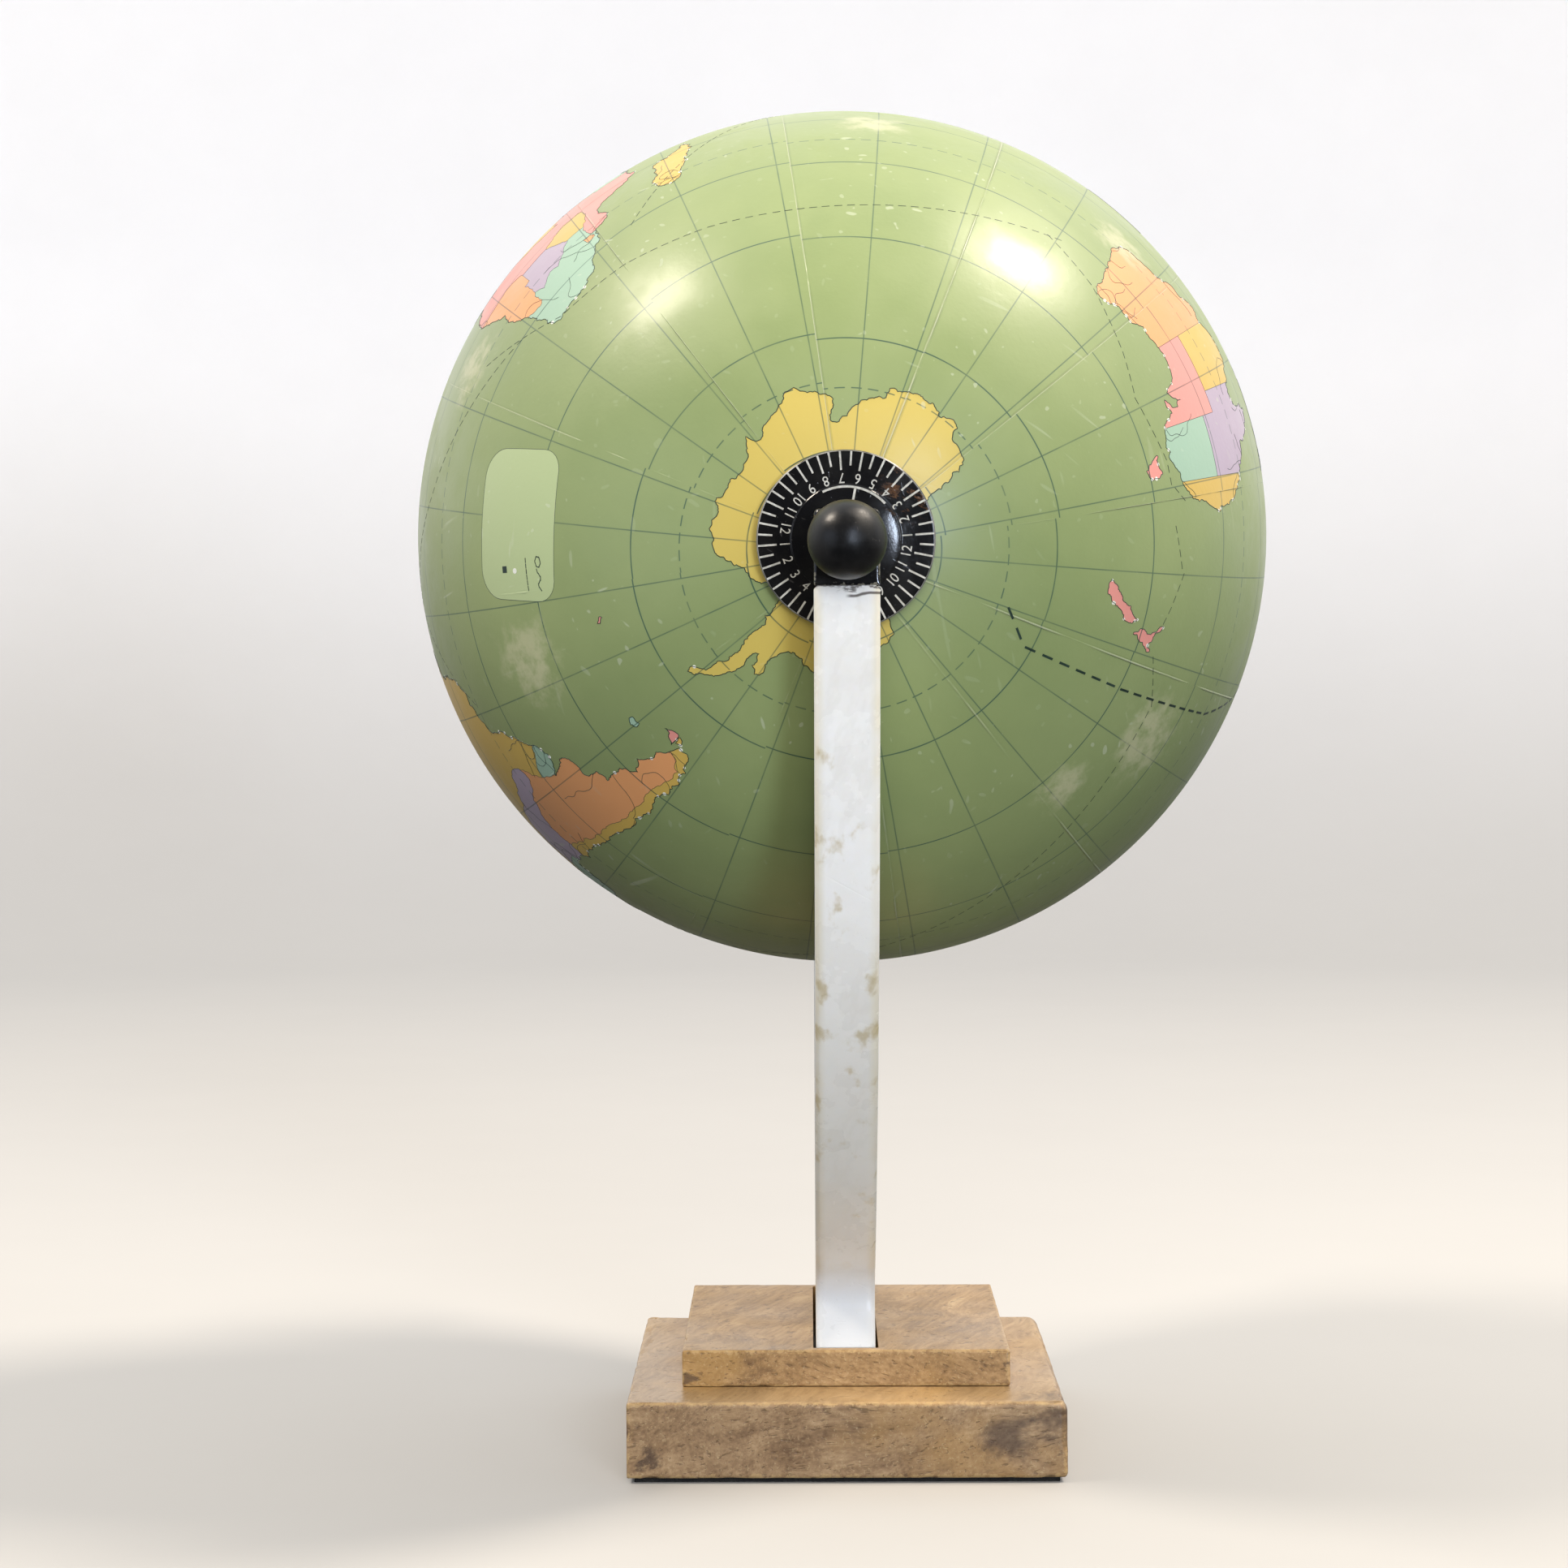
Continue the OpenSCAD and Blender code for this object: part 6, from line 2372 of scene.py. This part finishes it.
@dataclass
class Globe:
    """The ball with its printed map, the tape over its seam and the small printed marks."""

    frame: Frame
    wall: float = 1.6
    pole_hole: float = 4.55
    coast_ink: float = 0.095
    thin_ink: float = 0.06
    print_h: float = 0.03
    sunk: float = 0.02
    legend_at: Point = (346.4, -43.9)
    legend_size: Point = (19.0, 14.0)
    legend_corner: float = 3.4
    town_size: float = 0.8
    towns: int = 170
    seed: int = 11
    rivers: int = 150
    river_steps: tuple[int, int] = (7, 26)
    river_step: float = 0.4
    river_bend: Triple = (0.55, 0.3, 0.7)
    polar: float = 0.9
    town_polar: float = 0.91
    border_depth: float = 0.09
    rim_gap: float = 0.15
    fine_step: float = 0.25
    town_scales: Triple = (0.7, 0.85, 1.0)
    scuffs: tuple[Triple, ...] = (
        (77.6, -20.0, 13.0), (322.4, -42.6, 16.0), (196.9, -37.0, 17.0), (8.5, -23.0, 14.0),
        (117.0, -25.0, 12.0), (212.0, -44.0, 11.0), (250.0, 30.0, 16.0), (70.0, 35.0, 14.0),
        (300.0, 55.0, 12.0))
    plan: GlobePlan = field(init=False)
    radius: float = field(init=False)

    def __post_init__(self) -> None:
        """Works out the plan and the radius."""
        self.plan = GlobePlan(self.frame)
        self.radius = self.frame.globe_r

    def build(self) -> list[Piece]:
        """Builds both printed halves with their ink, the small marks and the tape.

        Returns:
            The pieces.
        """
        printed = PrintedMap("printed_map", 0.42, coat=0.13, coat_roughness=0.19, scuffs=self.scuffs)
        plastic = SpeckledFinish("shell_plastic", 0.5, light="#d8d0b8", dark="#c9c0a6", scale=60.0)
        finishes = (printed.make(self.plan), plastic.make())
        ink = SpeckledFinish("map_ink", 0.35, light="#2b3f37", dark="#1b2a25", scale=250.0).make()
        pale_ink = SpeckledFinish("white_ink", 0.4, light="#f2f2ea", dark="#dcded0", scale=400.0).make()
        coasts = (*CONTINENTS, INLAND_SEA, *SOUTHERN_ISLANDS, *NORTHERN_ISLANDS)
        lines = [MapLine(Line.COAST, points) for points in coasts]
        lines += [MapLine(Line.BORDER, points, False, self.border_depth)
                  for points in SOUTHERN_BORDERS + NORTHERN_BORDERS]
        lines.append(MapLine(Line.FRAME, self._legend_outline(), depth=0.0))
        crossings = {round(atan2(p.y, p.x), 9) for line in lines for p in line.path if p.z == 0.0}
        rim = sorted(crossings | {turn for turn in (radians(d) - pi for d in range(360))
                                  if all(abs(turn - other) > radians(self.rim_gap) for other in crossings)})
        pieces: list[Piece] = []
        towns: list[Vector] = []
        for side, name in SIDES:
            half = MapHalf(-side, lines, rim, degrees(asin(self.pole_hole * MM / self.radius)))
            self._colour_in(half)
            skin = self._skin("globe_skin_" + name, half)
            for finish in finishes:
                skin.data.materials.append(finish)
            pieces.append(placed(skin, "globe", "globe_" + name))
            for kind, spots, edges, size in (
                    ("coasts_", half.spots, half.coasts, self.coast_ink),
                    ("borders_", half.spots, half.borders, self.thin_ink),
                    ("rivers_", *self._rivers(half), self.thin_ink)):
                tool = InkLines(kind + name, {"Line Radius": size * MM}, ink)
                drawn = tool.bake(kind + name, self._edge_mesh(spots, edges))
                pieces.append(placed(drawn, "globe"))
            towns += random.Random(self.seed).sample([half.spots[a] for a, _ in half.coasts], self.towns)
        pieces += [placed(marks, "globe") for marks in self._marks(towns, ink, pale_ink)]
        return [*pieces, self._tape()]

    @staticmethod
    def _colour_in(half: MapHalf) -> None:
        """Finds the tint of each face, which is None for the sea, and the edges that are coasts or borders.

        Args:
            half: One half of the map.
        """
        legend = colour(Tint.LEGEND.value)
        box = next(line for line in half.lines if line.kind is Line.FRAME)
        sea = next(line for line in half.lines if line.points is INLAND_SEA)
        lands = [line for line in half.lines if line.kind is Line.COAST and line is not sea]
        seeds = [(direction(*spot), colour(tint.value)) for tint, spots in COUNTRIES.items() for spot in spots]
        seeds = [(spot, shade) for spot, shade in seeds if spot.z * half.pole > -0.2]
        shades: dict[int, Colour | None] = {}
        for region, f in half.largest().items():
            spot = half.middle(f)
            if half.inside(spot, box):
                shades[region] = legend
            elif half.inside(spot, sea) or not any(half.inside(spot, line) for line in lands):
                shades[region] = None
            else:
                shades[region] = min(seeds, key=lambda seed: seed[0].angle(spot))[1]
        free = {region for region, shade in shades.items() if shade not in (None, legend)}
        for spot, shade in seeds:
            region = half.region[half.tree.find(spot)[1]]
            if region in free:
                shades[region] = shade
                free.remove(region)
        half.shades = [shades.get(region) for region in half.region]
        for edge, number in half.fence.items():
            regions = {half.region[f] for f in half.beside.get(edge, [])}
            kinds = {shades.get(region) for region in regions}
            if number < 0 or len(regions) < 2 or kinds == {None}:
                continue
            boxed = half.lines[number].kind is Line.FRAME
            (half.coasts if None in kinds and not boxed else half.borders).append(edge)

    def _skin(self, name: str, half: MapHalf) -> Piece:
        """The printed half ball as a closed shell.

        Args:
            name: Name of the piece.
            half: Its triangles.

        Returns:
            The piece, whose inner side has the second material.
        """
        outer = []
        for face in half.faces:
            a, b, c = (half.spots[i] for i in face)
            outer.append(face if (b - a).cross(c - a).dot(a) > 0 else face[::-1])
        count, below = len(outer), len(half.spots)
        inner = [tuple(i + below for i in face[::-1]) for face in outer]
        rims = [(b, a, a + below, b + below) for face in outer for a, b in zip(face, (*face[1:], face[0]))
                if len(half.beside[(min(a, b), max(a, b))]) == 1]
        spots = [self.plan.place(way, radius) for radius in (self.radius, self.radius - self.wall * MM)
                 for way in half.spots]
        mesh = mesh_of(name, spots, (), outer + inner + rims)
        mesh.shade_smooth()
        others = len(inner) + len(rims)
        mesh.polygons.foreach_set("material_index", [0] * count + [1] * others)
        kinds = {None: 0.0, colour(Tint.LEGEND.value): 2.0}
        flags = [kinds.get(shade, 1.0) for shade in half.shades] + [0.0] * others
        mesh.attributes.new("land", "FLOAT", "FACE").data.foreach_set("value", flags)
        tints = np.zeros((len(mesh.loops), 4), dtype=np.float32)
        tints[:3 * count] = np.repeat([shade or (0, 0, 0, 1) for shade in half.shades], 3, axis=0)
        mesh.attributes.new("print", "FLOAT_COLOR", "CORNER").data.foreach_set("color", tints.ravel())
        out = [self.plan.axes @ way for way in half.spots]
        normals = [out[i] for face in outer for i in face] + [-out[i - below] for face in inner for i in face]
        normals += [face.normal.copy() for face in mesh.polygons[2 * count:] for _ in range(4)]
        mesh.normals_split_custom_set(normals)
        return linked(name, mesh)

    def _rivers(self, half: MapHalf) -> tuple[list[Vector], list[Edge]]:
        """Rivers that wander inland from the coasts.

        Args:
            half: One half of the map.

        Returns:
            The rivers' points and their edges.
        """
        rng = random.Random(5 + half.pole)
        spots: list[Vector] = []
        edges: list[Edge] = []
        held, sway, bend = self.river_bend
        for a, b in rng.sample(half.coasts, self.rivers):
            mouth = (half.spots[a] + half.spots[b]).normalized()
            inland = next(f for f in half.beside[(a, b)] if half.shades[f] is not None)
            way, turn = (half.middle(inland) - mouth).normalized(), 0.0
            run = [mouth]
            for _ in range(rng.randint(*self.river_steps)):
                turn = turn * held + rng.gauss(0.0, sway)
                way = (way + run[-1].cross(way) * turn * bend).normalized()
                ahead = (run[-1] + way * radians(self.river_step)).normalized()
                if half.shades[half.tree.find(ahead)[1]] is None or abs(ahead.z) > self.polar:
                    break
                run.append(ahead)
            if len(run) > 5:
                edges += [(i, i + 1) for i in range(len(spots), len(spots) + len(run) - 1)]
                spots += run
        return spots, edges

    def _edge_mesh(self, ways: Sequence[Vector], edges: Sequence[Edge]) -> Mesh:
        """Puts edges just under the globe's surface.

        Args:
            ways: Directions of their ends.
            edges: The edges.

        Returns:
            Their mesh.
        """
        number = {i: k for k, i in enumerate(sorted({i for edge in edges for i in edge}))}
        spots = [self.plan.place(ways[i], self.radius - self.sunk * MM) for i in number]
        return mesh_of("edges", spots, [(number[a], number[b]) for a, b in edges])

    def _mark(self, way: Vector, along: Vector) -> Mark:
        """A mark's place, normal and direction, from the globe's own axes."""
        return (self.plan.place(way, self.radius), self.plan.axes @ way, self.plan.axes @ along)

    def _dashes(self, points: Sequence[Point], step: float) -> list[Mark]:
        """Marks along a line of the map.

        Args:
            points: The corners of the line.
            step: Millimetres from mark to mark.

        Returns:
            The marks.
        """
        corners = [direction(*p) for p in points]
        fine = []
        for a, b in zip(corners, corners[1:]):
            parts = max(2, int(degrees(a.angle(b)) / self.fine_step))
            fine.extend(a.lerp(b, i / parts).normalized() for i in range(parts))
        marks = []
        since = step * MM
        for a, b in zip(fine, [*fine[1:], corners[-1]]):
            since += a.angle(b) * self.radius
            if since >= step * MM:
                since = 0.0
                marks.append(self._mark(a, b - a))
        return marks

    def _marks(self, coast: Sequence[Vector], ink: Material, pale_ink: Material) -> list[Piece]:
        """The towns, the date line, the sea routes and the legend's signs.

        Args:
            coast: Where there may be towns.
            ink: The dark ink.
            pale_ink: The pale ink.

        Returns:
            The pieces.
        """
        rng = random.Random(self.seed)
        tilt = self.plan.axes.transposed() @ Vector((0.3, 0.2, 0.9))
        towns = [self._mark(way, tilt) for way in coast if abs(way.z) < self.town_polar]
        bars = [self._sign(-7.9 + 0.7 * k, -2.2) for k in range(6)]
        bars += [self._sign(-7.9 + 0.45 * k, -4.4 + 0.24 * sin(k * 1.5), (1.0, 0.7 * cos(k * 1.5)))
                 for k in range(6)]
        bars += [self._sign(-4.5 + 0.62 * cos(k), -4.4 + 0.42 * sin(k), (-sin(k), 0.8 * cos(k)))
                 for k in range(7)]
        routes = [mark for route in SEA_ROUTES for mark in self._dashes(route, 2.3)]
        made = []
        for tool, name, marks, length, width, material in (
                ("town_marks", "town_dots", towns, 0.0, self.town_size, pale_ink),
                ("date_marks", "date_line", self._dashes(DATE_LINE, 4.0), 2.5, 0.48, ink),
                ("route_marks", "route_dashes", routes, 1.5, 0.12, ink),
                ("legend_squares", "legend_square", [self._sign(-5.7, 2.0)], 1.3, 1.3, ink),
                ("legend_bars", "legend_lines", bars, 0.95, 0.17, ink),
                ("legend_dots", "legend_dot", [self._sign(-5.8, 0.0)], 0.0, 1.1, pale_ink)):
            sizes = {"Length": length * MM, "Width": width * MM, "Thickness": self.print_h * 2 * MM}
            marker = PlacedMarks(tool, sizes, material, MarkShape.BAR if length else MarkShape.DOT)
            scales = [rng.choice(self.town_scales) for _ in marks] if marks is towns else ()
            made.append(marker.place(name, marks, scales))
        return made

    def _legend_place(self, across: float, up: float) -> Point:
        """Longitude and latitude of a place in the legend's box, in degrees from its middle."""
        lat = self.legend_at[1] + up
        return (self.legend_at[0] + across / cos(radians(lat)), lat)

    def _legend_outline(self) -> list[Point]:
        """The legend's box with round corners.

        Returns:
            Its points.
        """
        bend = self.legend_corner
        wide, high = (size / 2 - bend for size in self.legend_size)
        corners = []
        for number, (x, y) in enumerate(((1, 1), (-1, 1), (-1, -1), (1, -1))):
            for turn in (radians(90 * number + 90 * k / 7) for k in range(8)):
                corners.append(self._legend_place(x * wide + bend * cos(turn), y * high + bend * sin(turn)))
        return corners

    def _sign(self, across: float, up: float, toward: Point = (1.0, 0.0)) -> Mark:
        """A mark in the legend's box.

        Args:
            across: Degrees to the right of its middle.
            up: Degrees above its middle.
            toward: Where the mark points.

        Returns:
            The mark.
        """
        here = direction(*self._legend_place(across, up))
        there = direction(*self._legend_place(across + toward[0] * 0.1, up + toward[1] * 0.1))
        return self._mark(here, there - here)

    def _tape(self) -> Piece:
        """The paper tape over the seam of the two halves, bent to the ball.

        Returns:
            The tape.
        """
        low, high = self.frame.reach("equator_tape", 1)
        rows = [(high - low) / 2 * (k / 4 - 1) for k in range(9)]
        outer, inner = self.frame.radius("equator_tape"), self.radius - self.sunk * MM
        profile = [(sqrt(r**2 - z**2), z) for r, side in ((outer, rows), (inner, rows[::-1])) for z in side]
        finish = TapePrint("tape_print", 0.3, coat=0.5, coat_roughness=0.08).make(self.plan)
        band = lathe("seam_tape", profile, self.frame.pole(-1), 360)
        return dressed(band, finish, "globe", "equator_tape")


# ---- all together


def dress_frame_nodes(frame: Frame) -> None:
    """Gives each node that stays as it is its finish.

    Args:
        frame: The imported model.
    """
    steel = TurnedMetal("steel", 0.28, metallic=1.0).make(frame)
    brass = TurnedMetal("brass", 0.32, metallic=1.0, shade="#c9a45a", stain="#8b6a35").make(frame)
    inner = SpeckledFinish("inner_plastic", 0.5, light="#cfc5a8", dark="#bcb190", scale=120.0).make()
    felt = SpeckledFinish("felt", 0.95, light="#2b2a28", dark="#171615", scale=900.0, grain_depth=0.0003)
    card = SpeckledFinish("card", 0.8, light="#b59a72", dark="#9c8460", scale=200.0)
    finishes = {
        "base_felt": felt.make(), "equator_collar": card.make(),
        **dict.fromkeys(("knob_insert_south", "knob_insert_north"), brass),
        **dict.fromkeys(("step_screws", "foot_studs", "foot_washers", "foot_nuts", "axle",
                         "tip_pin_south", "tip_pin_north"), steel)}
    for name, node in frame.nodes.items():
        node.data.materials.clear()
        node.data.materials.append(finishes.get(name, inner))


def main() -> None:
    """Builds the globe round its frame."""
    logging.basicConfig(level=logging.INFO, format="%(name)s: %(message)s")
    frame = Frame.load()
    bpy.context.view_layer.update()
    dress_frame_nodes(frame)
    for maker in (Studio, WoodenBase, StoneCradle, TipBlocks, AxleSet, HourDial, Globe):
        for piece in maker(frame).build():
            LOG.info("%s: %s, %d faces", maker.__name__, piece.name, len(piece.data.polygons))


if __name__ == "__main__":
    main()
